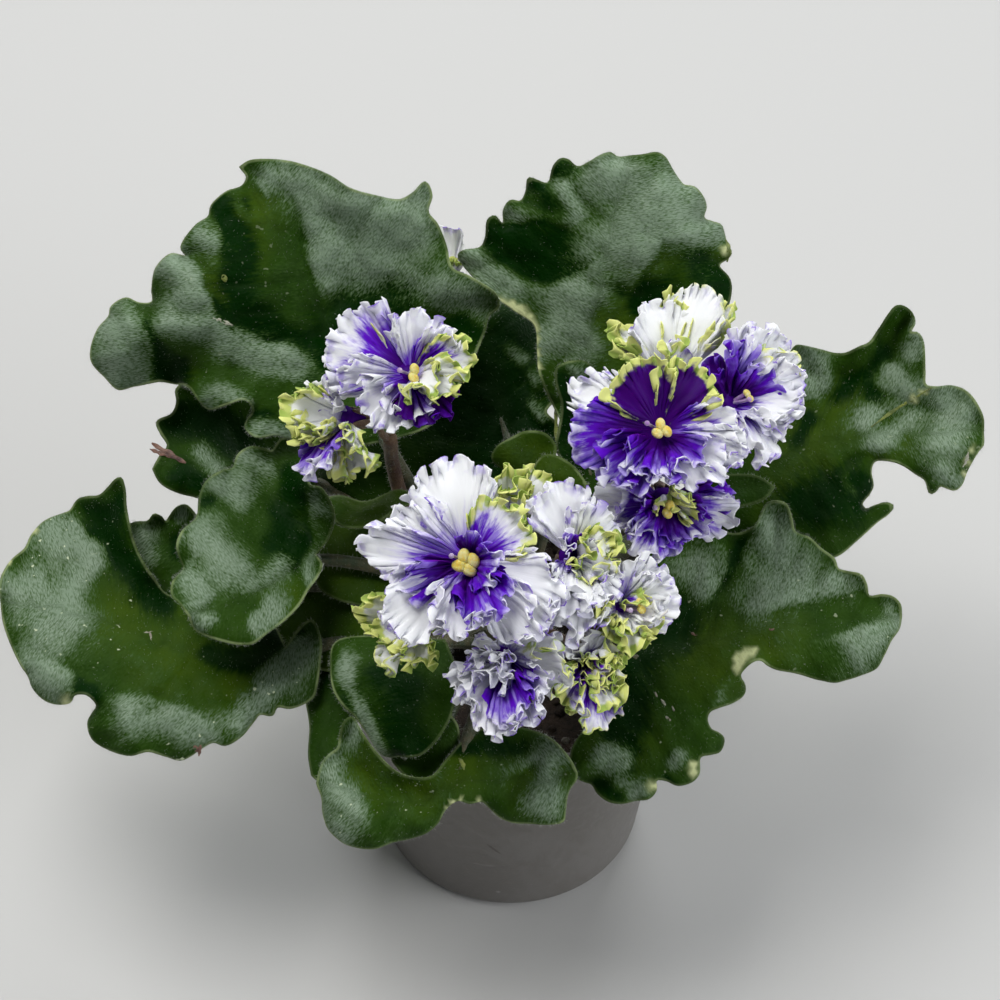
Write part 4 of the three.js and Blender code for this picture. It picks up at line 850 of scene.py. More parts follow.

# Creases: a sighted line and how far its folds reach. The blade turns up on the left hand of the line,
# where a painted sheen lies, and falls away on the right, where painted shade lies.
CREASES = {
    "leaf_back_left": [
        ([(281, 162), (297, 197), (307, 236), (317, 281), (320, 307)], 20),
        ([(247, 169), (262, 190), (270, 212)], 7), ([(249, 215), (243, 200), (241, 192)], 7),
        ([(218, 262), (221, 237), (213, 219)], 10),
        ([(231, 328), (213, 312), (202, 281), (189, 256)], 13),
        ([(325, 372), (299, 354), (257, 338), (230, 321)], 14),
        ([(153, 367), (150, 338), (140, 318)], 11), ([(235, 418), (214, 404), (204, 392)], 7)],
    "leaf_back": [
        ([(500, 221), (530, 218), (560, 222), (585, 236)], 9),
        ([(600, 262), (574, 276), (536, 284), (505, 268)], 14),
        ([(628, 303), (641, 274), (666, 241), (704, 243)], 16),
        ([(560, 186), (566, 205), (572, 222)], 7), ([(545, 205), (536, 190), (530, 182)], 6)],
    "leaf_front_left": [
        ([(110, 562), (100, 543), (84, 532), (69, 514)], 13),
        ([(212, 720), (165, 704), (120, 692), (96, 708)], 11),
        ([(74, 690), (71, 671), (45, 662)], 9), ([(318, 626), (284, 648), (252, 678), (256, 692)], 12)],
    "leaf_left": [
        ([(199, 491), (211, 491), (223, 505)], 8), ([(196, 520), (189, 538), (191, 570)], 10),
        ([(205, 570), (192, 572), (178, 573)], 7), ([(174, 601), (188, 609), (205, 604), (222, 592)], 8),
        ([(203, 634), (214, 624), (216, 606)], 8), ([(272, 592), (250, 620), (252, 640)], 11),
        ([(308, 490), (313, 520), (313, 545), (303, 562)], 7)],
    "leaf_front_right": [
        ([(764, 524), (744, 556), (750, 577)], 13),
        ([(740, 612), (790, 606), (835, 595), (866, 590)], 14),
        ([(702, 608), (725, 577), (725, 550)], 12), ([(900, 618), (858, 628), (812, 642)], 12),
        ([(734, 664), (722, 688), (708, 710)], 7), ([(624, 774), (627, 755), (606, 744)], 8),
        ([(650, 771), (629, 776), (611, 785)], 7)],
    "leaf_right": [
        ([(843, 437), (864, 428), (900, 409), (928, 391)], 9),
        ([(833, 467), (850, 454), (871, 449), (895, 454), (921, 471)], 8),
        ([(858, 494), (850, 478), (852, 466)], 6), ([(868, 372), (884, 390), (906, 400)], 8)],
    "leaf_front": [
        ([(452, 800), (440, 770), (400, 752), (366, 748)], 9),
        ([(500, 800), (520, 770), (560, 760)], 10)],
    "leaf_inner_front": [([(392, 750), (376, 728), (362, 700), (352, 668)], 9)],
}

YOUNG = ("leaf_young_right", "leaf_young_back", "leaf_inner_left", "leaf_inner_left_edge",
         "leaf_inner_left_low")
YOUNG_OLIVE = 0.75

# Steps and reaches along a blade are in sighted steps, thicknesses and heights in mm.
RIM_STEP = 3.2
SPINE_STEP = 6
BLADE_STEP = 5.2
BLADE_THICKNESS = 0.9
RIM_THICKNESS = 0.45
RIM_TAPER = 2.5
RIM_ROUNDING = 0.3
VEIN_PAIRS = 8
VEINED_LENGTH = 260
FEWEST_VEIN_PAIRS = 3
VEIN_LEAN = 0.42
VEIN_DEPTH = 0.28
VEIN_SHARE = 0.16
MIDRIB_DEPTH = 0.8
MIDRIB_WIDTH = 7.0
QUILT_HEIGHT = 0.22
LUMP_HEIGHT = 0.9
BROAD_LUMPS = 0.032
SMALL_LUMPS = 0.085
FRILL_RISE = 0.8
FRILL_REACH = 16
FRILL_WAVE = 11.5
FRILL_DRIFT = 37.0
FULL_LEAF = 180
PETIOLE_RADIUS = 1.75
PETIOLE_START = 4.0
PETIOLE_SWING = 0.1
PETIOLE_STEP = 1.2
STEM_SIDES = 12
RIB_DEPTH = 2.3
RIB_SINK = 1.5
FOLD_RISE = 0.06
FOLD_SPREAD = 1.4
CREASE_RISE = 0.7
CREASE_WIDTH = 9.0
PALE_SHARPNESS = 2.4
RIM_HAIRS = 3.0
RIM_HAIR_LENGTHS = (0.45, 1.25)
FACE_HAIRS = 0.28
FACE_HAIR_LENGTHS = (0.3, 0.75)
STALK_HAIRS = 7.0
STALK_HAIR_LENGTHS = (0.6, 1.6)
HAIR_RADIUS = 0.028
MARK_LIFT = 0.5
MARK_THICKNESS = 0.14
MARK_ROUNDING = 0.05
FIBRE_STRETCH = (1.1, 0.24, 1.0)
NAP_STRETCH = (3.1, 0.95, 1.0)
BROAD_MOTTLE = (28, 5, 1.7)
OLIVE_MOTTLE = (60, 3, 1.3)
DROP_MOTTLE = (30, 2, 2.0)
DROP_FINENESS = 620
DROP_EDGE = (0.725, 0.75)
# Where the half and the full painted sheen begin.
HALF_SHEEN_EDGE = (-0.10, 0.55)
FULL_SHEEN_EDGE = (0.26, 1.18)
RIM_EDGE = (0.55, 0.05)
PEBBLE_FINENESS = 1300
LEAF_GRAIN_DEPTH = 0.00025
# The first colour below is both a deeper green in the mottle and the painted shade in the hollows; the
# third and fourth are painted sheen, half and full, on the ridges.
LEAF_DEEP_AND_SHADE = (0.0010, 0.0150, 0.0001, 1)
LEAF_GREEN = (0.0185, 0.0500, 0.0030, 1)
LEAF_HALF_SHEEN = (0.0340, 0.0750, 0.0140, 1)
LEAF_PAINTED_SHEEN = (0.1800, 0.2480, 0.1700, 1)
LEAF_OLIVE = (0.0350, 0.0700, 0.0030, 1)
LEAF_VEIN = (0.0420, 0.0820, 0.0260, 1)
LEAF_RIM = (0.2100, 0.2700, 0.1200, 1)
LEAF_UNDER = (0.2150, 0.2650, 0.1050, 1)
LEAF_UNDER_GREEN = (0.1150, 0.1700, 0.0500, 1)
LEAF_UNDER_VEIN = (0.3500, 0.3900, 0.2200, 1)
LEAF_LIP = (0.4700, 0.5100, 0.2600, 1)
LEAF_FLECK = (0.5500, 0.6200, 0.4200, 1)
LEAF_SHEEN = (0.75, 0.92, 0.80, 1)
STALK_SHEEN = (0.9, 0.85, 0.8, 1)
PETIOLE_COLOURS = ((0.020, 0.040, 0.010, 1), (0.085, 0.075, 0.028, 1))
DOWN_COLOURS = ((0.35, 0.40, 0.33, 1), (0.62, 0.66, 0.58, 1))
MARK_KINDS = {
    "yellowed": ("yellowed_skin", (0.070, 0.105, 0.010, 1), (0.21, 0.25, 0.035, 1)),
    "scarred": ("scar_skin", (0.22, 0.20, 0.15, 1), (0.42, 0.44, 0.34, 1)),
    "dried": ("dried_skin", (0.060, 0.020, 0.014, 1), (0.26, 0.13, 0.085, 1)),
}


def smooth_curve(knots, steps=14):
    """Points of a centripetal Catmull-Rom curve through the knots."""
    knots = np.asarray(knots, float)
    ends = np.vstack([2 * knots[0] - knots[1], knots, 2 * knots[-1] - knots[-2]])
    found = []
    for i in range(len(knots) - 1):
        p = ends[i:i + 4]
        gaps = np.maximum(np.sqrt(np.linalg.norm(np.diff(p, axis=0), axis=1)), 1e-4)
        t = np.concatenate([[0], np.cumsum(gaps)])
        at = np.linspace(t[1], t[2], steps, endpoint=False)[:, None]
        a = [(t[k + 1] - at) / gaps[k] * p[k] + (at - t[k]) / gaps[k] * p[k + 1] for k in range(3)]
        b = [(t[k + 2] - at) / (t[k + 2] - t[k]) * a[k] + (at - t[k]) / (t[k + 2] - t[k]) * a[k + 1]
             for k in range(2)]
        found.append((t[2] - at) / gaps[1] * b[0] + (at - t[1]) / gaps[1] * b[1])
    return np.vstack(found + [knots[-1:]])


def evenly(points, spacing=None, count=None):
    """The same line with points at even distances."""
    run = np.concatenate([[0], np.cumsum(np.linalg.norm(np.diff(points, axis=0), axis=1))])
    if count is None:
        count = max(3, int(round(run[-1] / spacing)) + 1)
    at = np.linspace(0, run[-1], count)
    return np.stack([np.interp(at, run, points[:, k]) for k in range(points.shape[1])], 1)


def unit(rows):
    """Each row scaled to a length of one."""
    return rows / np.maximum(np.linalg.norm(rows, axis=1), 1e-9)[:, None]


def inside(points, outline):
    """Whether each point lies within the closed outline."""
    x, y = points[:, 0][:, None], points[:, 1][:, None]
    x1, y1 = outline[:, 0], outline[:, 1]
    x2, y2 = np.roll(x1, -1), np.roll(y1, -1)
    spans = (y1 > y) != (y2 > y)
    with np.errstate(divide="ignore", invalid="ignore"):
        meets = x < (x2 - x1) * (y - y1) / (y2 - y1) + x1
    return (spans & meets).sum(1) % 2 == 1


def nearest(points, line):
    """The distance from each point to the nearest of a line's points, and which it is."""
    gap = np.linalg.norm(points[:, None, :2] - line[None, :, :2], axis=2)
    which = gap.argmin(1)
    return gap[np.arange(len(points)), which], which


def facings(points, triangles):
    """Unit normals at the points of a triangle mesh."""
    a, b, c = (points[triangles[:, k]] for k in range(3))
    across = np.cross(b - a, c - a)
    normal = np.zeros_like(points)
    for k in range(3):
        np.add.at(normal, triangles[:, k], across)
    return unit(normal)


def turned_to(way, points, triangles):
    """The triangles, wound so that they face a way."""
    if (facings(points, triangles) @ way).mean() < 0:
        return triangles[:, ::-1]
    return triangles


def grid_triangles(rows, columns):
    """The triangles of a grid whose points are laid out row by row."""
    here = np.arange(rows * columns).reshape(rows, columns)
    a, b, c, d = here[:-1, :-1], here[1:, :-1], here[1:, 1:], here[:-1, 1:]
    return np.concatenate([np.stack(corners, -1).reshape(-1, 3) for corners in ([a, b, c], [a, c, d])])


def open_edges(triangles):
    """The directed edges that only one triangle has."""
    seen = {}
    for a, b, c in triangles.tolist():
        for edge in ((a, b), (b, c), (c, a)):
            if (edge[1], edge[0]) in seen:
                del seen[(edge[1], edge[0])]
            else:
                seen[edge] = True
    return np.array(list(seen))


def sheet_solid(points, triangles, half_thickness, rounding):
    """A sheet as a closed solid with a rounded rim. Gives the vertices, the faces, the sheet
    point that each vertex came from and its side: 1 above, -1 below and 0 on the rim."""
    normal = facings(points, triangles)
    away = normal * np.asarray(half_thickness).reshape(-1, 1)
    count = len(points)
    edges = open_edges(triangles)
    rim = np.unique(edges)
    place = {v: 2 * count + k for k, v in enumerate(rim.tolist())}
    outward = np.zeros_like(points)
    out = np.cross(points[edges[:, 1]] - points[edges[:, 0]], normal[edges[:, 0]])
    np.add.at(outward, edges[:, 0], out)
    np.add.at(outward, edges[:, 1], out)
    outward = unit(outward)
    vertices = np.vstack([points + away, points - away, points[rim] + outward[rim] * rounding])
    faces = [tuple(t) for t in triangles.tolist()]
    faces += [(c + count, b + count, a + count) for a, b, c in triangles.tolist()]
    for a, b in edges.tolist():
        faces.append((a, place[a], place[b], b))
        faces.append((place[a], a + count, b + count, place[b]))
    source = np.concatenate([np.arange(count), np.arange(count), rim])
    side = np.concatenate([np.ones(count), -np.ones(count), np.zeros(len(rim))])
    return vertices, faces, source, side


def tube(path, radii, sides):
    """A round stem along a path, closed at both ends, with the ways out round its skin."""
    path = np.asarray(path, float)
    heading = np.gradient(path, axis=0)
    heading /= np.linalg.norm(heading, axis=1)[:, None]
    across = np.cross(heading[0], (0, 0, 1.0))
    if np.linalg.norm(across) < 0.1:
        across = np.cross(heading[0], (1.0, 0, 0))
    vertices = []
    outs = []
    for point, ahead, radius in zip(path, heading, radii):
        across = across - ahead * across.dot(ahead)
        across /= np.linalg.norm(across)
        other = np.cross(ahead, across)
        for c, s in round_about(sides):
            out = across * c + other * s
            vertices.append(point + out * radius)
            outs.append(out)
    vertices.append(path[0] - heading[0] * radii[0] * 0.4)
    vertices.append(path[-1] + heading[-1] * radii[-1] * 0.4)
    outs += [-heading[0], heading[-1]]
    faces = []
    rings = len(path)
    last = (rings - 1) * sides
    nexts = [(k, (k + 1) % sides) for k in range(sides)]
    for i in range(0, last, sides):
        faces += [(i + k, i + j, i + sides + j, i + sides + k) for k, j in nexts]
    for k, j in nexts:
        faces.append((j, k, rings * sides))
        faces.append((last + k, last + j, rings * sides + 1))
    return np.array(vertices), faces, np.array(outs)


def hairs(roots, ways, lengths, radius=HAIR_RADIUS):
    """Fine tapering hairs: each a slender four-cornered solid."""
    roots, ways, lengths = np.vstack(roots), unit(np.vstack(ways)), np.concatenate(lengths)
    side = np.cross(ways, np.where(np.abs(ways[:, 2:]) < 0.9, [[0, 0, 1.0]], [[1.0, 0, 0]]))
    side /= np.linalg.norm(side, axis=1)[:, None]
    other = np.cross(ways, side)
    corners = [roots + radius * (side * c + other * s) for c, s in round_about(3)]
    tips = roots + ways * lengths[:, None]
    vertices = np.stack(corners + [tips], 1).reshape(-1, 3)
    base = np.arange(len(roots))[:, None] * 4
    faces = np.concatenate([base + t for t in ([0, 2, 1], [0, 1, 3], [1, 2, 3], [2, 0, 3])], 1)
    return vertices, faces.reshape(-1, 3).tolist()


def down_on(skin, outs, count, lengths, chance):
    """Roots, ways and lengths of hairs that stand out at random places of a stem."""
    pick = chance.integers(0, len(skin), count)
    ways = outs[pick] + chance.normal(0, 0.3, (count, 3))
    return skin[pick] - outs[pick] * 0.05, ways, chance.uniform(*lengths, count)


class Heap:
    """The parts of one mesh: their vertices, faces and material slots."""

    def __init__(self):
        self.points, self.faces, self.slots = [], [], []

    def add(self, points, faces, slot=0):
        """Lays one more part on the heap."""
        shift = sum(map(len, self.points))
        self.points.append(points)
        self.faces += [tuple(i + shift for i in f) for f in faces]
        self.slots += [slot] * len(faces)

    def made(self, name, materials, **stored):
        """The mesh object, storing three numbers a vertex under each name, or 0 past their end."""
        made = placed_mesh("african_violet_" + name, np.vstack(self.points), self.faces)
        for material in materials:
            made.data.materials.append(material)
        made.data.polygons.foreach_set("material_index", self.slots)
        for label, values in stored.items():
            rows = np.zeros((len(made.data.vertices), 3), np.float32)
            rows[:len(values)] = values
            store = made.data.attributes.new(label, "FLOAT_VECTOR", "POINT")
            store.data.foreach_set("vector", rows.ravel())
        return made


def patches(points, places, sharpness=1.0):
    """How far each sighted point lies within any of some round patches, from 0 to 1."""
    mask = np.zeros(len(points))
    for across, down, radius in places:
        gap = np.hypot(points[:, 0] - across, points[:, 1] - down) / radius
        mask = np.maximum(mask, np.clip((1.3 - gap) * sharpness, 0, 1))
    return np.clip(mask, 0, 1)


def wandering(points, reach, fineness):
    """The sighted points moved about a little, so that what is drawn on them has uneven edges."""
    moved = [[noise.noise(Vector((p[0], p[1], layer)) * fineness) for layer in (3.0, 71.0)]
             for p in points]
    return points[:, :2] + np.array(moved) * reach


def folds(points, runs):
    """How strongly each sighted point lies in any of some folds, and their rise in mm."""
    mask = np.zeros(len(points))
    rise = np.zeros(len(points))
    places = wandering(points, 13, 0.03)
    for x0, y0, x1, y1, half in runs:
        way = np.array([x1 - x0, y1 - y0], float)
        share = np.clip(((places - (x0, y0)) @ way) / max(way @ way, 1e-9), 0, 1)
        gap = np.linalg.norm(places - (x0, y0) - share[:, None] * way, axis=1) / half
        bell = np.exp(-0.9 * (gap / FOLD_SPREAD) ** 2.1)
        mask = 1 - (1 - mask) * (1 - bell)
        rise = np.maximum(rise, bell * half * FOLD_RISE)
    return mask, rise


def creases(points, drawn):
    """How far each sighted point lies on the raised and on the fallen side of any crease."""
    raised = np.zeros(len(points))
    fallen = np.zeros(len(points))
    places = wandering(points, 6, 0.05)
    for line, reach in drawn:
        line = evenly(smooth_curve(line, 8), spacing=1.0)
        way = unit(np.gradient(line, axis=0))
        gap, which = nearest(places, line)
        off = places - line[which]
        side = way[which, 0] * off[:, 1] - way[which, 1] * off[:, 0]
        ahead = np.abs((way[which] * off).sum(1)) / reach
        share = which / (len(line) - 1)
        near = np.exp(-gap / reach - ahead ** 2) * np.sin(math.pi * np.clip(share, 0.08, 0.92)) ** 0.7
        upper = np.clip(0.5 - side / CREASE_WIDTH, 0, 1)
        raised = np.maximum(raised, near * upper)
        fallen = np.maximum(fallen, near * (1 - upper))
    return raised, fallen


def blade_mesh(leaf):
    """A blade's flat triangle mesh in sighted steps, its outline and its spine."""
    root, tip = leaf["spine"][0], leaf["spine"][-1]
    sides = [evenly(smooth_curve([root] + leaf[side] + [tip]), spacing=RIM_STEP)
             for side in ("left", "right")]
    outline = np.vstack([sides[0][:-1], sides[1][::-1][:-1]])
    spine = evenly(smooth_curve(leaf["spine"]), spacing=1.0)
    held = spine[::SPINE_STEP]
    held = held[nearest(held, outline)[0] > RIM_STEP]
    low, high = outline[:, :2].min(0), outline[:, :2].max(0)
    grid = []
    for row, down in enumerate(np.arange(low[1], high[1], BLADE_STEP * 0.87)):
        start = low[0] + (row % 2) * BLADE_STEP / 2
        grid += [(across, down) for across in np.arange(start, high[0], BLADE_STEP)]
    grid = np.array(grid)
    grid = grid[inside(grid, outline)]
    grid = grid[nearest(grid, outline)[0] > RIM_STEP * 0.85]
    if len(held):
        grid = grid[nearest(grid, held)[0] > BLADE_STEP * 0.6]
    flat = np.vstack([outline[:, :2], held[:, :2], grid])
    ring = list(range(len(outline)))
    first = len(outline)
    lines = [(first + k, first + k + 1) for k in range(len(held) - 1)]
    cut = geometry.delaunay_2d_cdt([Vector(p) for p in flat], lines, [ring], 1, 1e-4)
    flat = np.array([tuple(v) for v in cut[0]])
    triangles = np.array([t for t in cut[2] if len(t) == 3])
    triangles = triangles[inside(flat[triangles].mean(1), outline)]
    used = np.unique(triangles)
    fresh = np.full(len(flat), -1)
    fresh[used] = np.arange(len(used))
    return flat[used], fresh[triangles], outline, spine


def blade_sheet(name, leaf):
    """The blade's middle surface in sighted points, its triangles, and for each point its distance to the
    rim in mm, how deep it lies in a vein, how much painted sheen and painted shade its folds and lumps
    give it, and where it lies along and across the way that the down is combed."""
    flat, triangles, outline, spine = blade_mesh(leaf)
    rim_gap = np.linalg.norm(flat[:, None] - outline[None, :, :2], axis=2)
    weight = 1 / (rim_gap + 0.3) ** 3
    rim_height = (weight * outline[:, 2]).sum(1) / weight.sum(1)
    to_rim = rim_gap.min(1)
    rim_place = rim_gap.argmin(1) * RIM_STEP
    to_rim = np.where(to_rim < 0.2, 0, to_rim)
    to_spine, which = nearest(flat, spine)
    run = which * 1.0
    out = to_spine / np.maximum(to_spine + to_rim, 1e-6)
    turn = 0.45 * out + 0.55 * out ** 3
    height = spine[which, 2] * (1 - turn) + rim_height * turn
    length = float(len(spine))
    ahead = np.gradient(spine[:, :2], axis=0)[which]
    off = flat[:, :2] - spine[which, :2]
    left = np.sign(off[:, 0] * ahead[:, 1] - off[:, 1] * ahead[:, 0])
    pairs = max(FEWEST_VEIN_PAIRS, round(VEIN_PAIRS * length / VEINED_LENGTH))
    bend = VEIN_LEAN * to_spine * (1 + 0.25 * out)
    phase = pairs * (run - bend) / length + 0.25 * left
    rib = np.abs(np.mod(phase, 1) - 0.5) * 2
    rib_mask = np.clip(1 - (1 - rib) / VEIN_SHARE, 0, 1) ** 1.2
    fade = np.clip(1.15 - out, 0, 1) ** 0.6 * np.clip(to_spine / 12, 0, 1)
    quilt = (1 - rib ** 2) * QUILT_HEIGHT * np.clip(to_rim / 16, 0, 1)
    midrib = np.exp(-(to_spine / MIDRIB_WIDTH) ** 2) * np.clip(1.2 - run / length, 0, 1)
    size = min(1.0, length / FULL_LEAF)
    relief = size * (quilt - VEIN_DEPTH * rib_mask * fade - MIDRIB_DEPTH * midrib)
    seed = sum(map(ord, name)) % 97
    places = [Vector((across, down, seed)) for across, down in flat]
    lumps = np.array([noise.noise(place * BROAD_LUMPS) + 0.5 * noise.noise(place * SMALL_LUMPS)
                      for place in places])
    frill = np.sin(rim_place / FRILL_WAVE + 2 * np.sin(rim_place / FRILL_DRIFT + seed))
    frill = np.exp(-to_rim / FRILL_REACH) * frill
    lit_ridge, lift = folds(flat, LIT_RIDGES.get(name, []))
    shaded_hollow, drop = folds(flat, SHADED_HOLLOWS.get(name, []))
    held = np.clip(to_rim / 14, 0.25, 1)
    raised, fallen = creases(flat, CREASES.get(name, []))
    # The raised side of a crease adds painted sheen to the ridges, the fallen side painted shade to the
    # hollows.
    lit_ridge = np.clip(lit_ridge * (1 - 0.7 * fallen) + 0.6 * raised, 0, 1)
    shaded_hollow = np.clip(shaded_hollow * (1 - raised) + 0.7 * fallen, 0, 1)
    height = height + relief + size * (LUMP_HEIGHT * lumps + FRILL_RISE * frill)
    height = height + (lift - drop) * held + CREASE_RISE * (raised - fallen) * held
    vein = np.clip(np.maximum(midrib, rib_mask * fade), 0, 1)
    lumps = lumps + 0.5 * (0.6 - rib ** 2) * np.clip(to_spine / 16, 0, 1) * size
    # Painted sheen on the ridges and lumps, painted shade in the hollows.
    light = np.column_stack([lit_ridge, shaded_hollow, lumps])
    way = unit(ahead)
    across = np.abs(way[:, 0] * off[:, 1] - way[:, 1] * off[:, 0])
    along = run + (way * off).sum(1) - VEIN_LEAN * across
    flow = np.column_stack([along * SIGHT_STEP, across * SIGHT_STEP, 7 * left + seed])
    return np.column_stack([flat, height]), triangles, to_rim * SIGHT_STEP, vein, light, flow


def marks(heap, flat, drawn, slot):
    """Adds thin scars, scabs and flecks that follow a blade's face, each drawn as a sighted
    line and a width."""
    for line, width in drawn:
        line = evenly(smooth_curve(line, 6), spacing=1.5)
        way = unit(np.gradient(line, axis=0))
        across = np.column_stack([-way[:, 1], way[:, 0]])
        t = np.linspace(0, math.pi, len(line))
        half = width / 2 * (0.25 + 0.75 * np.sin(t)) * (1 + 0.3 * np.sin(5.1 * t + width))
        rows = np.stack([line + across * (half * k)[:, None] for k in (-1, 0, 1)], 1).reshape(-1, 2)
        gap = np.linalg.norm(rows[:, None] - flat[None, :, :2], axis=2)
        near = np.argsort(gap, axis=1)[:, :4]
        weight = 1 / (np.take_along_axis(gap, near, 1) + 0.5) ** 2
        height = (weight * flat[near, 2]).sum(1) / weight.sum(1)
        sheet = sighted(np.column_stack([rows, height])) + TO_OBSERVER * MARK_LIFT
        triangles = turned_to(TO_OBSERVER, sheet, grid_triangles(len(line), 3))
        heap.add(*sheet_solid(sheet, triangles, MARK_THICKNESS / 2, MARK_ROUNDING)[:2], slot)


def petiole_path(leaf):
    """The stalk from the crown to the blade, running on under it as its rib."""
    spine = evenly(smooth_curve(leaf["spine"]), count=60)
    root = sighted(leaf.get("root", leaf["spine"][0]))
    bearing = math.radians(leaf["bearing"])
    outward = np.array([math.cos(bearing), math.sin(bearing), 0])
    start = outward * PETIOLE_START + np.array([0, 0, leaf["tier"]])
    span = math.hypot(root[0], root[1])
    middle = start + (root - start) * 0.45
    middle += outward * PETIOLE_SWING * span * (1 - outward.dot(root) / span)
    middle[2] += leaf["arch"] * span
    drop = np.array([0, 0, RIB_DEPTH])
    if "root" in leaf:
        ahead = [root + outward * PETIOLE_RADIUS * 3 - drop]
    else:
        ahead = [sighted(spine[k]) - drop * RIB_SINK for k in (5, 14, 24)]
    return evenly(smooth_curve([start, middle, root - drop] + ahead), spacing=PETIOLE_STEP)


def rim_down(points, triangles, chance):
    """Roots, ways and lengths of the hairs that fringe a blade."""
    normal = facings(points, triangles)
    edges = open_edges(triangles)
    run = points[edges[:, 1]] - points[edges[:, 0]]
    wanted = chance.poisson(np.linalg.norm(run, axis=1) * RIM_HAIRS)
    pick = np.repeat(np.arange(len(edges)), wanted)
    foot = points[edges[pick, 0]] + run[pick] * chance.uniform(size=(len(pick), 1))
    rise = normal[edges[pick, 0]]
    out = unit(np.cross(run[pick], rise))
    ways = out + rise * 0.35 + chance.normal(0, 0.33, (len(pick), 3))
    return foot + out * 0.2, ways, chance.uniform(*RIM_HAIR_LENGTHS, len(pick))


def face_down(points, triangles, half, chance):
    """Roots, ways and lengths of the shorter hairs on a blade's face."""
    normal = facings(points, triangles)
    a, b, c = (points[triangles[:, k]] for k in range(3))
    area = np.linalg.norm(np.cross(b - a, c - a), axis=1) / 2
    pick = np.repeat(np.arange(len(triangles)), chance.poisson(area * FACE_HAIRS))
    u, v = chance.uniform(size=(2, len(pick), 1))
    u, v = np.where(u + v > 1, 1 - u, u), np.where(u + v > 1, 1 - v, v)
    foot = a[pick] + (b - a)[pick] * u + (c - a)[pick] * v
    corner = triangles[pick, 0]
    rise = normal[corner]
    ways = rise + chance.normal(0, 0.4, (len(pick), 3))
    roots = foot + rise * (half[corner] - 0.03)[:, None]
    return roots, ways, chance.uniform(*FACE_HAIR_LENGTHS, len(pick))


def leaf_object(name, leaf, materials):
    """One leaf: its blade, stalk, hairs and marks in one mesh, with what its skin reads."""
    chance = np.random.default_rng(sum(map(ord, name)))
    flat, triangles, to_rim, vein, light, flow = blade_sheet(name, leaf)
    points = sighted(flat)
    triangles = turned_to(TO_OBSERVER, points, triangles)
    rim_share = np.clip(to_rim / RIM_TAPER, 0, 1)
    half = (RIM_THICKNESS + (BLADE_THICKNESS - RIM_THICKNESS) * rim_share) / 2
    heap = Heap()
    vertices, faces, source, side = sheet_solid(points, triangles, half, RIM_ROUNDING)
    heap.add(vertices, faces)
    olive = patches(flat, OLIVE.get(name, []))
    if name in YOUNG:
        olive = np.maximum(olive, YOUNG_OLIVE)
    pale = patches(flat, PALE.get(name, []), PALE_SHARPNESS)
    under = np.where(side < 0, 1.0, pale[source])
    flecked = np.full(len(flat), FLECKED.get(name, 0.0))
    stored = {"leaf_edge": np.column_stack([to_rim[source], vein[source], under]),
              "leaf_tone": np.column_stack([olive, flecked, pale])[source],
              "leaf_light": light[source],
              "leaf_flow": flow[source]}
    path = petiole_path(leaf)
    along = np.linspace(0, 1, len(path))
    radii = PETIOLE_RADIUS * (1.08 - 0.2 * along)
    radii *= np.where(along > 0.8, 1 - 0.75 * (along - 0.8) / 0.2, 1)
    stem, faces, outs = tube(path, radii, STEM_SIDES)
    heap.add(stem, faces, 1)
    stem_hairs = int(len(path) * PETIOLE_STEP * STALK_HAIRS)
    down = [rim_down(points, triangles, chance), face_down(points, triangles, half, chance),
            down_on(stem, outs, stem_hairs, STALK_HAIR_LENGTHS, chance)]
    heap.add(*hairs(*zip(*down)), 2)
    for slot, drawn in enumerate(MARKS.get(name, {}).values(), 3):
        marks(heap, flat, drawn, slot)
    return heap.made(name, materials, **stored)


def drawn_noise(skin, parts, stretch, scale, detail, roughness=0.5):
    """Noise over three numbers, each stretched by its own amount."""
    stretched = skin.vector(*(skin.times(part, by) for part, by in zip(parts, stretch)))
    return skin.noise(stretched, scale, detail, roughness)


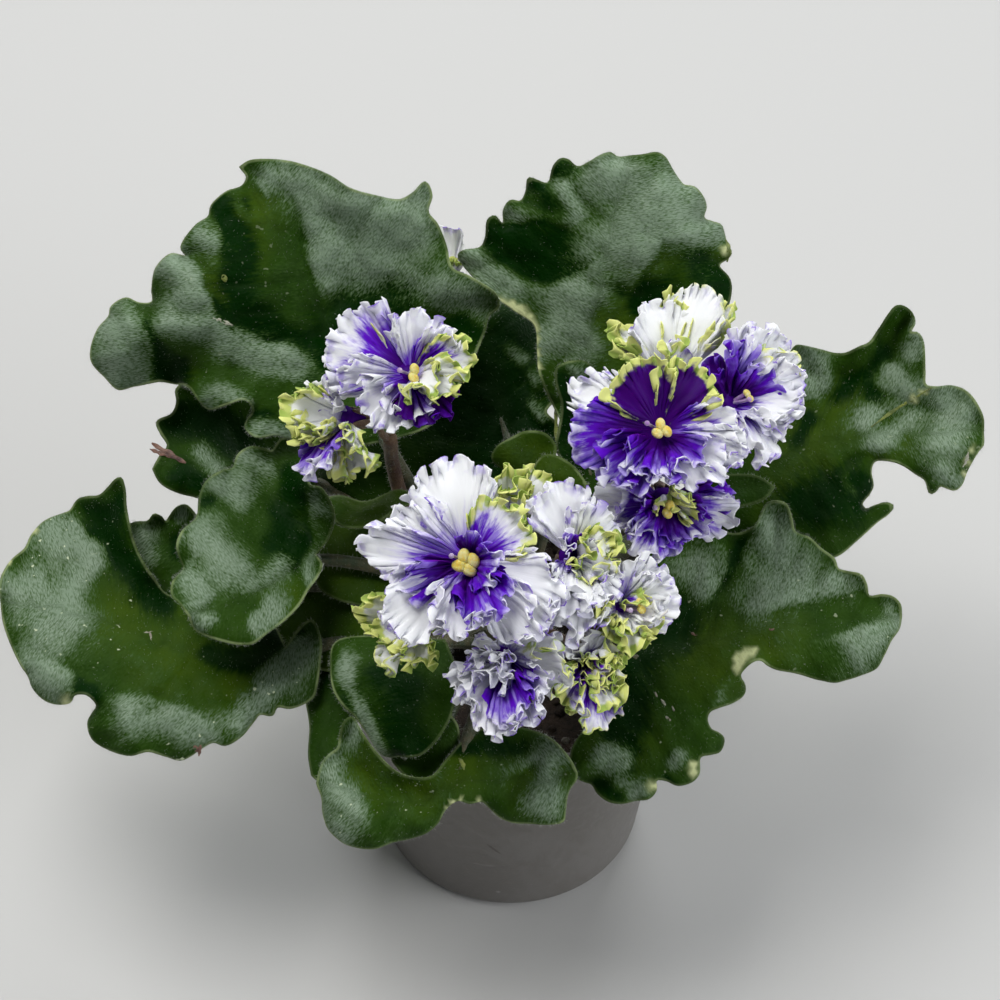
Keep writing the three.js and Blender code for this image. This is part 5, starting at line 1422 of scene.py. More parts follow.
def leaf_skin():
    """Thick hairy leaf skin: painted deep-green shade in the hollows and a painted silvery sheen on the
    ridges and along the down, with a thin pale rim, a paler underside and a finely pebbled surface."""
    skin = Skin("leaf_skin")
    times, plus, less, ranged, mixed = skin.times, skin.plus, skin.less, skin.ranged, skin.mixed
    to_rim, vein, under = skin.stored("leaf_edge")
    olive, flecked, lip = skin.stored("leaf_tone")
    lit_ridge, shaded_hollow, lumps = skin.stored("leaf_light")
    flow = skin.stored("leaf_flow")
    place = skin.place()
    fibres = drawn_noise(skin, flow, FIBRE_STRETCH, 1.0, 4, 0.65)
    nap = drawn_noise(skin, flow, NAP_STRETCH, 1.0, 2)
    broad = mottled(skin, *BROAD_MOTTLE)
    colour = mixed(0.5, mixed(broad, LEAF_DEEP_AND_SHADE, LEAF_GREEN), LEAF_GREEN)
    blotch = ranged(mottled(skin, *OLIVE_MOTTLE), -0.2, 0.7)
    colour = mixed(times(olive, blotch), colour, LEAF_OLIVE)
    fibre = less(fibres, 0.5)
    # Painted sheen: strongest on the ridges, raised by lumps and by the down's streaks and nap, and taken
    # away in the hollows.
    down = plus(plus(lit_ridge, times(lumps, 0.26)), times(fibre, 0.8))
    nap_depth = plus(times(lit_ridge, 0.38), 0.10)
    down = plus(down, times(ranged(nap, 0.3, 0.7, -1.0, 1.0), nap_depth))
    down = less(down, times(shaded_hollow, 0.3))
    thin = ranged(down, *HALF_SHEEN_EDGE)
    down = ranged(down, *FULL_SHEEN_EDGE, smooth=False)
    # Painted shade in the hollows, deepened between the down's streaks.
    shade_and_streaks = ranged(plus(shaded_hollow, fibre), 0.25, 0.95)
    colour = mixed(shade_and_streaks, colour, LEAF_DEEP_AND_SHADE)
    colour = mixed(thin, colour, LEAF_HALF_SHEEN)
    colour = mixed(down, colour, LEAF_PAINTED_SHEEN)
    colour = mixed(times(vein, 0.16), colour, LEAF_VEIN)
    rim = times(ranged(to_rim, *RIM_EDGE), ranged(broad, 0.3, 0.8, 0.22, 0.85))
    colour = mixed(rim, colour, LEAF_RIM)
    drop = ranged(skin.noise(place, DROP_FINENESS, 1), *DROP_EDGE)
    where = ranged(mottled(skin, *DROP_MOTTLE), 0.45, 0.7)
    colour = mixed(times(drop, where, flecked), colour, LEAF_FLECK)
    belly = mixed(ranged(broad, 0.25, 0.8), LEAF_UNDER, LEAF_UNDER_GREEN)
    belly = mixed(ranged(fibre, -0.1, 0.2, 0.0, 0.5), belly, LEAF_UNDER_GREEN)
    belly = mixed(times(vein, 0.8), belly, LEAF_UNDER_VEIN)
    belly = mixed(lip, belly, LEAF_LIP)
    skin.shade({
        "Base Color": mixed(under, colour, belly),
        "Roughness": ranged(fibres, 0.3, 0.7, 0.42, 0.58, smooth=False),
        "Coat Weight": ranged(down, 0, 1, 0.0, 0.22, smooth=False),
        "Coat Roughness": 0.42,
        "Coat IOR": 1.45,
        "Sheen Weight": 0.012,
        "Sheen Roughness": 0.4,
        "Sheen Tint": LEAF_SHEEN,
        "Specular IOR Level": 0.035,
    })
    inputs = (("Vector", place), ("Scale", PEBBLE_FINENESS), ("Smoothness", 0.9))
    pebbles = skin.put("ShaderNodeTexVoronoi", inputs, "Distance", feature="SMOOTH_F1")
    skin.bump(less(times(fibres, 1.2), pebbles), LEAF_GRAIN_DEPTH, 0.7)
    return skin.material


def stalk_skin(name, dark, light):
    """Fleshy skin under short down, mottled in two colours."""
    skin = rough_skin(name, (130, 4, 2.0), (dark, light), 0.5, (900, 3, 1.5), 0.0002)
    skin.shade({"Sheen Weight": 0.3, "Sheen Tint": STALK_SHEEN})
    return skin.material


def down_hair():
    """Colourless down that catches the light."""
    skin = Skin("white_down")
    skin.shade({"Base Color": skin.mixed(mottled(skin, 90, 3, 1.5), *DOWN_COLOURS),
                "Roughness": 0.45})
    return skin.material


leaf_green = leaf_skin()
petiole_green = stalk_skin("petiole_skin", *PETIOLE_COLOURS)
leaf_down = down_hair()
mark_skins = {kind: stalk_skin(*facts) for kind, facts in MARK_KINDS.items()}
for leaf_name, leaf in LEAVES.items():
    leaf_skins = [leaf_green, petiole_green, leaf_down]
    leaf_skins += [mark_skins[kind] for kind in MARKS.get(leaf_name, {})]
    grown = leaf_object(leaf_name, leaf, leaf_skins)
    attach(grown, "root")
    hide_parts(leaf_name)

# ---- Blooms ---------------------------------------------------------------------------------
# Double blooms of thin petals with tightly crimped rims, white with violet running out from
# the throat and here and there a yellow-green fringe. All spring from a short throat tube.

# Throat is a sighted point, face the way a bloom looks: its bearing and lift in degrees. Each
# petal has its tip as a sighted point, its width in mm, and then how far, from 0 to 1, the
# violet, the green fringe and a lilac blush have spread on it, and how strong its crimp is.

BLOOMS = {
    "front_main": {
        "throat": [468, 562, 138], "face": [-95, 46], "petals": [
            [564, 612, 134, 19, 0.08, 0.0, 0.4, 1.3], [384, 634, 132, 18, 0.38, 0.0, 0.2, 1.1],
            [402, 504, 139, 13, 0.28, 0.0, 0.9, 1.4], [448, 462, 146, 20, 0.22, 0.0, 0.5, 1.1],
            [540, 646, 130, 13, 0.30, 0.0, 0.5, 1.3], [522, 508, 146, 17, 0.58, 0.7, 0.1, 1.1],
            [360, 540, 137, 13, 0.40, 0.0, 0.5, 1.3], [388, 592, 136, 10, 0.85, 0.0, 0.3, 1.2],
            [458, 648, 131, 15, 0.34, 0.0, 0.6, 1.4], [507, 632, 136, 14, 0.90, 0.0, 0.3, 1.3],
            [516, 574, 143, 11, 0.82, 0.0, 0.0, 0.8], [474, 522, 146, 6, 0.95, 0.0, 0.0, 0.5]]},
    "front_left_low": {
        "throat": [418, 625, 120], "face": [-140, 30], "petals": [
            [355, 598, 126, 12, 0.0, 0.9, 0.1, 1.3], [386, 676, 113, 11, 0.1, 0.3, 0.1, 1.3],
            [370, 636, 119, 12, 0.1, 0.9, 0.2, 1.3], [410, 664, 117, 10, 0.0, 1.0, 0.0, 1.3],
            [438, 668, 118, 13, 0.0, 1.0, 0.0, 1.3]]},
    "front_top": {
        "throat": [510, 520, 126], "face": [-70, 66], "petals": [
            [546, 472, 131, 11, 0.1, 0.8, 0.4, 1.2], [498, 464, 138, 14, 0.1, 1.0, 0.2, 1.4],
            [524, 474, 137, 10, 0.3, 1.0, 0.3, 1.4], [534, 496, 135, 12, 0.3, 0.9, 0.3, 1.4]]},
    "front_right_top": {
        "throat": [572, 556, 130], "face": [-60, 52], "petals": [
            [604, 505, 137, 14, 0.15, 0.0, 0.7, 1.2], [550, 482, 140, 17, 0.10, 0.0, 0.6, 0.9],
            [566, 644, 126, 16, 0.25, 0.0, 0.6, 1.3], [584, 530, 136, 11, 0.15, 0.0, 0.7, 1.2],
            [626, 540, 134, 11, 0.0, 1.0, 0.2, 1.3], [616, 582, 131, 12, 0.2, 0.3, 0.6, 1.3],
            [590, 624, 128, 16, 0.25, 0.0, 0.6, 1.3], [556, 626, 129, 14, 0.3, 0.0, 0.5, 1.3],
            [606, 556, 135, 9, 0.0, 0.8, 0.2, 1.3], [547, 548, 137, 9, 0.9, 0.0, 0.2, 0.8]]},
    "front_bottom": {
        "throat": [505, 660, 118], "face": [-95, 20], "petals": [
            [505, 630, 122, 14, 0.30, 0.0, 0.5, 1.2], [444, 686, 118, 15, 0.22, 0.0, 0.6, 1.2],
            [462, 712, 115, 13, 0.20, 0.0, 0.6, 1.2], [498, 746, 111, 16, 0.22, 0.0, 0.5, 1.2],
            [540, 728, 113, 16, 0.68, 0.0, 0.3, 1.1], [556, 694, 117, 14, 0.30, 0.0, 0.5, 1.2],
            [562, 630, 125, 17, 0.2, 0.0, 0.6, 1.3], [580, 658, 122, 14, 0.1, 0.2, 0.5, 1.3],
            [530, 666, 124, 11, 0.30, 0.0, 0.6, 1.3], [478, 690, 121, 13, 0.20, 0.0, 0.6, 1.3],
            [452, 660, 121, 11, 0.2, 0.0, 0.6, 1.3], [506, 694, 121, 10, 0.2, 0.0, 0.6, 1.3],
            [531, 736, 114, 12, 0.82, 0.0, 0.3, 1.1]]},
    "front_right_low": {
        "throat": [588, 660, 114], "face": [-60, 14], "petals": [
            [588, 736, 108, 13, 0.75, 0.2, 0.2, 1.0], [554, 704, 112, 14, 0.55, 0.9, 0.1, 0.9],
            [604, 718, 111, 11, 0.5, 0.6, 0.2, 1.3], [616, 690, 113, 12, 0.2, 0.8, 0.2, 1.3],
            [612, 650, 120, 13, 0.1, 1.0, 0.2, 1.3], [580, 624, 124, 14, 0.2, 0.1, 0.5, 1.3],
            [600, 632, 123, 11, 0.2, 0.3, 0.5, 1.3], [584, 692, 116, 9, 0.9, 0.2, 0.2, 1.0]]},
    "front_right": {
        "throat": [622, 606, 124], "face": [-35, 34], "petals": [
            [682, 602, 125, 13, 0.10, 0.0, 0.3, 0.9], [668, 574, 128, 11, 0.10, 0.0, 0.4, 1.1],
            [646, 554, 130, 13, 0.20, 0.0, 0.5, 1.1], [612, 562, 130, 12, 0.35, 0.1, 0.5, 1.1],
            [584, 590, 130, 14, 0.45, 0.0, 0.5, 1.3], [592, 632, 123, 14, 0.2, 0.9, 0.3, 1.3],
            [614, 656, 120, 11, 0.1, 0.8, 0.3, 1.3], [642, 646, 119, 12, 0.15, 0.5, 0.2, 1.2],
            [628, 582, 131, 8, 0.6, 0.9, 0.2, 1.2], [662, 628, 121, 9, 0.1, 0.1, 0.3, 1.1]]},
    "right_main": {
        "throat": [660, 430, 150], "face": [-88, 48], "petals": [
            [578, 386, 141, 13, 0.15, 0.0, 0.8, 1.2], [600, 402, 144, 12, 0.30, 0.0, 0.7, 1.2],
            [744, 438, 149, 17, 0.62, 0.0, 0.4, 1.1], [748, 462, 145, 12, 0.20, 0.0, 0.5, 1.2],
            [724, 482, 144, 15, 0.40, 0.0, 0.5, 1.1], [568, 446, 146, 19, 0.92, 0.0, 0.2, 1.0],
            [600, 484, 143, 16, 0.90, 0.0, 0.5, 1.3], [634, 486, 144, 14, 0.86, 0.0, 0.7, 1.4],
            [682, 486, 144, 17, 0.88, 0.0, 0.7, 1.3], [696, 368, 157, 17, 1.35, 0.75, 0.0, 1.15],
            [630, 366, 158, 18, 1.35, 0.75, 0.0, 1.15]]},
    "right_top": {
        "throat": [672, 382, 138], "face": [80, 62], "petals": [
            [606, 330, 143, 12, 0.1, 1.0, 0.0, 1.3], [608, 356, 141, 9, 0.5, 0.9, 0.0, 1.3],
            [667, 300, 144, 10, 0.0, 1.0, 0.0, 1.3], [738, 312, 144, 12, 0.1, 0.5, 0.4, 1.2],
            [712, 292, 147, 17, 0.04, 0.15, 0.3, 0.9], [696, 346, 148, 9, 0.1, 0.8, 0.3, 1.3],
            [646, 306, 147, 20, 0.06, 0.0, 0.2, 0.8], [674, 350, 149, 8, 0.1, 0.0, 0.9, 0.6]]},
    "right_side": {
        "throat": [734, 402, 140], "face": [-12, 40], "petals": [
            [702, 362, 146, 14, 1.3, 0.0, 0.3, 1.0], [704, 396, 142, 12, 1.3, 0.0, 0.3, 1.0],
            [744, 328, 145, 15, 0.55, 0.0, 0.5, 1.1], [772, 330, 145, 16, 0.45, 0.0, 0.4, 1.2],
            [792, 352, 143, 11, 0.20, 0.2, 0.5, 1.3], [804, 384, 140, 14, 0.30, 0.0, 0.5, 1.2],
            [800, 424, 137, 15, 0.30, 0.0, 0.5, 1.2], [776, 448, 135, 12, 0.25, 0.0, 0.5, 1.2],
            [748, 474, 134, 13, 0.35, 0.0, 0.5, 1.1], [764, 366, 144, 13, 0.95, 0.0, 0.4, 1.1],
            [722, 345, 147, 14, 1.0, 0.0, 0.2, 0.8]]},
    "right_low": {
        "throat": [664, 500, 130], "face": [-80, 22], "petals": [
            [594, 488, 130, 14, 0.45, 0.0, 0.7, 1.2], [612, 512, 128, 12, 0.80, 0.0, 0.7, 1.2],
            [738, 514, 125, 13, 0.60, 0.0, 0.3, 1.1], [730, 490, 129, 10, 1.00, 0.0, 0.5, 1.2],
            [636, 560, 122, 14, 0.75, 0.0, 0.6, 1.1], [700, 534, 124, 14, 1.05, 0.0, 0.3, 1.1],
            [668, 548, 123, 21, 1.00, 0.0, 0.3, 1.0], [636, 518, 127, 14, 1.10, 0.0, 0.3, 1.0],
            [662, 486, 134, 9, 0.1, 0.6, 0.2, 1.3], [698, 490, 133, 11, 0.1, 0.5, 0.2, 1.2]]},
    "left_main": {
        "throat": [410, 374, 148], "face": [-72, 46], "petals": [
            [372, 314, 151, 8, 0.0, 1.0, 0.1, 1.3], [330, 336, 151, 24, 0.66, 0.0, 0.5, 1.1],
            [336, 384, 146, 13, 0.25, 0.0, 0.8, 1.2], [424, 312, 156, 17, 0.26, 0.0, 0.5, 1.0],
            [454, 332, 154, 12, 0.60, 0.0, 0.4, 1.0], [474, 346, 152, 12, 0.60, 0.6, 0.2, 1.1],
            [436, 430, 142, 16, 1.4, 0.0, 0.0, 0.8], [398, 428, 142, 14, 0.60, 0.0, 0.7, 1.1],
            [362, 424, 141, 15, 0.30, 0.0, 0.9, 1.2], [474, 384, 150, 12, 0.10, 0.6, 0.0, 1.3],
            [442, 404, 148, 12, 0.20, 0.5, 0.0, 1.3]]},
    "left_low": {
        "throat": [344, 418, 136], "face": [-160, 24], "petals": [
            [308, 380, 141, 12, 0.2, 0.0, 0.8, 1.2], [328, 392, 141, 10, 0.2, 0.0, 0.8, 1.2],
            [352, 484, 124, 9, 0.1, 0.4, 0.3, 1.2], [278, 406, 138, 15, 0.0, 1.0, 0.2, 1.4],
            [294, 432, 133, 14, 0.1, 0.8, 0.3, 1.4], [320, 486, 127, 16, 0.80, 0.0, 0.2, 1.0],
            [382, 464, 129, 13, 0.1, 0.5, 0.2, 1.4], [358, 452, 133, 12, 0.1, 0.4, 0.3, 1.4],
            [310, 446, 133, 10, 0.1, 0.5, 0.3, 1.3]]},
    "behind": {
        "throat": [452, 272, 120], "face": [100, 40], "petals": [
            [444, 226, 132, 9, 0.1, 0.0, 0.4, 0.6], [462, 262, 124, 7, 0.0, 0.7, 0.0, 0.8],
            [436, 244, 124, 7, 0.1, 0.0, 0.5, 0.6]]},
}

# Sizes below are in millimetres.
PETAL_THICKNESS = 0.24
PETAL_ROUNDING = 0.08
PETAL_SINK = 0.6
PETAL_FOOT = 1.4
PETAL_LAYER = 0.45
PETAL_SPREAD = 1.14
PETAL_ARCH = 0.12
PETAL_ROWS = 18
RIM_SPACING = 0.27
CRIMP_LENGTH = 3.1
CRIMP_HEIGHT = 1.3
CRIMP_REACH = 2.3
ROLL_LENGTH = 9.0
ROLL_HEIGHT = 1.7
ROLL_REACH = 2.3
FRILL_LENGTH = 1.9
FRILL_HEIGHT = 0.14
FRILL_WIDTH = 0.9
SCALLOP_LENGTH = 3.9
SCALLOP_DEPTH = 0.75
TUBE_DEPTH = 5.0
TUBE_SIDES = 20
TUBE_STEPS = ((0, 1.3), (TUBE_DEPTH * 0.3, 1.7), (TUBE_DEPTH * 0.75, 2.6), (TUBE_DEPTH, 3.2))
PETAL_STORED = ("petal_lay", "petal_dye", "petal_hem")
TUBE_STORED = ((0, 0, 0), (0.5, 0, 0), (9, 0, 0))
STREAK_STRETCH = (7.0, 1.6, 3.7)
SILK_STRETCH = (14.0, 2.2, 5.1)
VEIN_STRETCH = (34.0, 0.35, 1.0)
BLOTCH_FINENESS = 320
WASH_EDGE = (-0.30, 0.02)
VIOLET_EDGE = (-0.13, 0.13)
PURPLE_EDGE = (0.10, 0.62)
LILAC_EDGE = (0.50, 0.68)
SPOT_EDGE = (0.56, 0.63)
HEM_EDGE = (0.35, 0.05)
FRINGE_SPREAD = (0.2, 0.85, 0.3, 3.1)
PETAL_GRAIN_DEPTH = 0.0002
PETAL_WHITE = (0.83, 0.84, 0.87, 1)
PETAL_SHADE = (0.50, 0.47, 0.72, 1)
PETAL_LILAC = (0.36, 0.28, 0.72, 1)
PETAL_VIOLET = (0.100, 0.0040, 0.50, 1)
PETAL_PURPLE = (0.036, 0.0003, 0.13, 1)
PETAL_GREEN = (0.70, 0.74, 0.24, 1)
PETAL_GREEN_SHADED = (0.34, 0.46, 0.10, 1)


def bloom_place(name):
    """A bloom's throat and the way it looks."""
    bearing, lift = map(math.radians, BLOOMS[name]["face"])
    axis = np.array([math.cos(lift) * math.cos(bearing), math.cos(lift) * math.sin(bearing),
                     math.sin(lift)])
    return sighted(BLOOMS[name]["throat"]), axis


def petal_outline(width, length, wave):
    """A petal's rounded, lobed outline from foot to foot, as (across, forward) in mm."""
    up = np.linspace(0.06, 1, 40)
    top = np.linspace(-1, 1, 60)[1:-1]
    w = np.concatenate([np.full(40, -1.0), top, np.full(40, 1.0)])
    u = np.concatenate([up, np.ones(58), up[::-1]])
    forward = u * (1 - 0.26 * w ** 2 * u) * length
    across = w * (0.14 + 0.86 * np.sin(1.9 * u) * (1.06 - 0.2 * u ** 2)) * width / 2
    outline = evenly(np.column_stack([across, forward]), spacing=RIM_SPACING)
    share = np.linspace(0, 2 * math.pi, len(outline))
    lobes = 0.028 * np.sin(2.5 * share + wave[0]) + 0.03 * np.sin(5.5 * share + wave[1])
    run = np.arange(len(outline)) * RIM_SPACING
    beat = math.pi * run / SCALLOP_LENGTH + 0.9 * np.sin(run / 4.3 + wave[2])
    scallops = SCALLOP_DEPTH * (np.abs(np.sin(beat)) ** 0.7 - 0.75) / (0.5 * length)
    middle = np.array([0, length * 0.5])
    free = np.clip(np.minimum(share, 2 * math.pi - share) / 1.2, 0, 1)
    return middle + (outline - middle) * (1 + (lobes + scallops) * free)[:, None]


def petal_solid(throat, axis, petal, order, seed):
    """One petal: its vertices and faces and, for each vertex, where it lies on the petal, the
    petal's dyes, and its distance to the rim, its fold and how far up the petal it lies."""
    chance = np.random.default_rng(seed)
    width, crimp = petal[3] * PETAL_SPREAD, petal[7]
    tip = sighted(petal[:3])
    level = tip - throat - axis * axis.dot(tip - throat)
    level /= np.linalg.norm(level)
    foot = throat + level * PETAL_FOOT - axis * PETAL_SINK
    along = tip - foot
    length = np.linalg.norm(along)
    along /= length
    out = axis - along * axis.dot(along)
    out /= np.linalg.norm(out)
    side = np.cross(along, out)
    wave = chance.uniform(0, 2 * math.pi, 12)
    rim = petal_outline(width, length, wave)
    count = len(rim)
    share = np.linspace(-1, 1, count)
    base = np.column_stack([share * width * 0.06, np.zeros(count)])
    t = np.linspace(0, 1, PETAL_ROWS)
    rays = (t * (1.75 - 0.75 * t))[:, None, None]
    flat = base[None] * (1 - rays) + rim[None] * rays
    across, forward = flat[..., 0], flat[..., 1]
    gap = np.linalg.norm(flat.reshape(-1, 1, 2) - rim[None, ::2], axis=2).min(1).reshape(across.shape)
    gap = np.where(t[:, None] > 0.999, 0, gap)
    run = np.arange(count) * RIM_SPACING
    u = np.hypot(across, forward) / length
    free = np.clip((forward / length - 0.12) / 0.3, 0, 1) ** 1.3
    # The crimp: tight folds square to the rim, stronger here and weaker there.
    phase = 2 * math.pi * run / CRIMP_LENGTH + 1.3 * np.sin(run / 3.1 + wave[3])
    phase = phase + 1.1 * np.sin(run / 7.3 + wave[4])
    strength = crimp * (0.85 + 0.3 * np.sin(run / 2.6 + wave[5]) + 0.2 * np.sin(run / 5.9 + wave[6]))
    deep = CRIMP_REACH * (1 + 0.4 * np.sin(run / 2.2 + wave[7]))
    pull = np.exp(-(gap / deep) ** 1.9) * free * strength
    ruffle = CRIMP_HEIGHT * pull
    # The roll: long waves in which the whole rim curls up.
    roll = np.sin(2 * math.pi * run / ROLL_LENGTH + 1.2 * np.sin(run / 8.0 + wave[8]))
    roll = ROLL_HEIGHT * crimp * free * (0.45 + 0.75 * roll) * np.exp(-gap / ROLL_REACH)
    turn = np.arctan2(across, forward - 0.2 * length)
    soft = 0.5 * np.sin(3 * turn + wave[9]) + 0.3 * np.sin(7 * turn + wave[10])
    rise = ruffle * (np.sin(phase) + 0.35) + roll + soft * free * np.clip(u, 0, 1)
    rise = rise + PETAL_ARCH * length * np.sin(0.9 * math.pi * np.clip(forward / length, 0, 1))
    rise = rise + PETAL_LAYER * order * u
    # The frill: the finest waves, at the very rim.
    fine = 2 * math.pi * run / FRILL_LENGTH + 1.5 * np.sin(run / 2.7 + wave[0])
    frill = FRILL_HEIGHT * crimp * free * np.exp(-(gap / FRILL_WIDTH) ** 1.2)
    rise = rise + frill * np.sin(fine)
    slide = -0.7 * ruffle * np.sin(2 * phase + 0.4) + 0.6 * frill * np.cos(fine)
    tuck = 0.6 * ruffle * np.sin(phase * 0.5 + wave[11]) - 0.55 * np.abs(roll) * pull
    heading = unit(np.gradient(rim, axis=0))
    across = across + slide * heading[:, 0] - tuck * heading[:, 1]
    forward = forward + slide * heading[:, 1] + tuck * heading[:, 0]
    points = (foot + side * across[..., None] + along * forward[..., None]
              + out * rise[..., None]).reshape(-1, 3)
    triangles = turned_to(out, points, grid_triangles(PETAL_ROWS, count))
    vertices, faces, source, _ = sheet_solid(points, triangles, PETAL_THICKNESS / 2, PETAL_ROUNDING)
    w = np.broadcast_to(share, u.shape)
    lay = np.column_stack([w.ravel(), u.ravel(), np.full(u.size, seed % 89)])[source]
    dye = np.tile(petal[4:7], (len(source), 1))
    fold = np.sin(phase) * np.minimum(pull, 1.2)
    hem = np.column_stack([gap.ravel(), fold.ravel(), u.ravel() * length])[source]
    return vertices, faces, lay, dye, hem


def tube_solid(throat, axis):
    """The throat tube that the petals spring from, closed at both ends."""
    path = np.array([throat - axis * (TUBE_DEPTH + 0.6 - step) for step, _ in TUBE_STEPS])
    return tube(path, [radius for _, radius in TUBE_STEPS], TUBE_SIDES)[:2]


def petal_skin():
    """Thin, moist, finely ribbed petal: white, with violet running out from the throat in streaks, a lilac
    blush near some rims, painted lilac shade in the valleys of the crimp and a yellow-green fringe at some
    rims, with painted shade in its folds."""
    skin = Skin("petal_skin")
    times, plus, less, ranged, mixed = skin.times, skin.plus, skin.less, skin.ranged, skin.mixed
    w, u, seed = skin.stored("petal_lay")
    stain, fringe, blush = skin.stored("petal_dye")
    gap, fold, run = skin.stored("petal_hem")
    streaks = drawn_noise(skin, (w, u, seed), STREAK_STRETCH, 1.3, 4, 0.65)
    jag = times(less(streaks, 0.5), 1.15, ranged(u, 0.0, 0.5))
    level = plus(less(stain, u), jag)
    silk = drawn_noise(skin, (w, u, seed), SILK_STRETCH, 0.6, 4)
    silk = times(ranged(silk, 0.45, 0.63), ranged(level, 0.55, 0.08, 0.0, 0.72))
    blotches = skin.noise(skin.place(), BLOTCH_FINENESS, 3)
    # Painted shade in the valleys of the crimp.
    colour = mixed(times(ranged(fold, -0.15, -0.8), 0.35), PETAL_WHITE, PETAL_SHADE)
    colour = mixed(times(ranged(level, *WASH_EDGE), 0.45), colour, PETAL_LILAC)
    lilac = times(ranged(blotches, *LILAC_EDGE), blush, ranged(gap, 5.0, 0.8))
    colour = mixed(lilac, colour, PETAL_LILAC)
    spots = times(ranged(blotches, *SPOT_EDGE), ranged(gap, 2.2, 0.4), times(blush, 0.35))
    colour = mixed(spots, colour, PETAL_VIOLET)
    hem_line = times(ranged(gap, *HEM_EDGE), ranged(blotches, 0.50, 0.60), 0.7)
    colour = mixed(hem_line, colour, PETAL_VIOLET)
    colour = mixed(ranged(level, *VIOLET_EDGE), colour, mixed(silk, PETAL_VIOLET, PETAL_LILAC))
    colour = mixed(ranged(level, *PURPLE_EDGE), colour, PETAL_PURPLE)
    green = less(times(fringe, ranged(u, *FRINGE_SPREAD)), gap)
    green = plus(green, times(less(blotches, 0.5), 5.0))
    green = times(ranged(green, -0.4, 0.9), ranged(fringe, 0.02, 0.2))
    # Painted shade: the fringe is deeper green in the valleys of its folds.
    tint = mixed(ranged(fold, -0.5, 0.5), PETAL_GREEN_SHADED, PETAL_GREEN)
    skin.shade({
        "Base Color": mixed(green, colour, tint),
        "Roughness": 0.5,
        "Specular IOR Level": 0.07,
        "Subsurface Weight": 0.25,
        "Subsurface Radius": (1.0, 0.9, 1.0),
        "Subsurface Scale": 0.0012,
    })
    skin.bump(drawn_noise(skin, (w, run, seed), VEIN_STRETCH, 1.0, 2), PETAL_GRAIN_DEPTH, 0.3)
    return skin.material


petal_finish = petal_skin()
for bloom_number, (bloom_name, bloom) in enumerate(BLOOMS.items()):
    throat, axis = bloom_place(bloom_name)
    heap = Heap()
    points, faces = tube_solid(throat, axis)
    heap.add(points, faces)
    stored = [[np.tile(row, (len(points), 1))] for row in TUBE_STORED]
    for order, petal in enumerate(bloom["petals"]):
        seed = 31 * bloom_number + 7 * order + 5
        points, faces, *read = petal_solid(throat, axis, petal, order, seed)
        heap.add(points, faces)
        for rows, more in zip(stored, read):
            rows.append(more)
    stored = {label: np.vstack(rows) for label, rows in zip(PETAL_STORED, stored)}
    made = heap.made("bloom_" + bloom_name, [petal_finish], **stored)
    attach(made, "root")
    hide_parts("bloom_" + bloom_name)

# ---- Anthers --------------------------------------------------------------------------------
# Plump pollen sacs in twos to fours on short filaments in the throat, each with a groove
# down its face, and beside them the slender pistil. Given as sacs, radius and height in mm.

ANTHERS = {"front_main": [4, 1.65, 4.6], "front_right": [2, 1.1, 6.0], "right_main": [3, 1.3, 4.6],
           "right_side": [2, 1.0, 4.2], "right_low": [2, 1.3, 5.0], "left_main": [2, 1.3, 4.8]}
SAC_ROWS = 14
SAC_COLUMNS = 22
SAC_STRETCH = 1.18
SAC_GROOVE = 0.22
SAC_GROOVE_WIDTH = 0.35
FILAMENT_RADIUS = 0.55
FILAMENT_SIDES = 8
PISTIL_LENGTH = 7.0
PISTIL_RADIUS = 0.38
PISTIL_TIP = [0.5, 0.7, 0.6]
PISTIL_SIDES = 10
POLLEN = (0.80, 0.60, 0.07, 1)
POLLEN_PALE = (0.80, 0.74, 0.30, 1)
PISTIL_COLOURS = ((0.55, 0.50, 0.62, 1), (0.30, 0.12, 0.42, 1))


def square_to(axis):
    """Two ways square to an axis and to each other, the first of them level."""
    right = np.cross(axis, (0, 0, 1.0))
    right /= np.linalg.norm(right)
    return right, np.cross(right, axis)


def sac(middle, ahead, side, up, radius):
    """A plump grooved pollen sac, longer than it is wide."""
    vertices = []
    for i in range(1, SAC_ROWS):
        fall = math.pi * i / SAC_ROWS
        for k in range(SAC_COLUMNS):
            turn = 2 * math.pi * k / SAC_COLUMNS
            dip = math.exp(-(((turn - math.pi / 2) / SAC_GROOVE_WIDTH) ** 2))
            groove = 1 - SAC_GROOVE * dip * math.sin(fall)
            a = math.cos(fall) * SAC_STRETCH
            b = math.sin(fall) * math.cos(turn) * 0.92 * groove
            c = math.sin(fall) * math.sin(turn) * 0.82 * groove
            vertices.append(middle + (ahead * a + side * b + up * c) * radius)
    end = ahead * radius * SAC_STRETCH
    vertices += [middle + end, middle - end]
    faces = []
    last, top = (SAC_ROWS - 2) * SAC_COLUMNS, (SAC_ROWS - 1) * SAC_COLUMNS
    for k in range(SAC_COLUMNS):
        j = (k + 1) % SAC_COLUMNS
        for i in range(0, last, SAC_COLUMNS):
            faces.append((i + k, i + SAC_COLUMNS + k, i + SAC_COLUMNS + j, i + j))
        faces.append((top, k, j))
        faces.append((top + 1, last + j, last + k))
    return np.array(vertices), faces


def pollen_skin():
    """Waxy pollen sac dusted with paler grains."""
    skin = rough_skin("pollen", (420, 4, 2.2), (POLLEN, POLLEN_PALE), 0.55, (2200, 3, 1.5), 0.00012)
    skin.shade({"Subsurface Weight": 0.15, "Subsurface Scale": 0.001})
    return skin.material


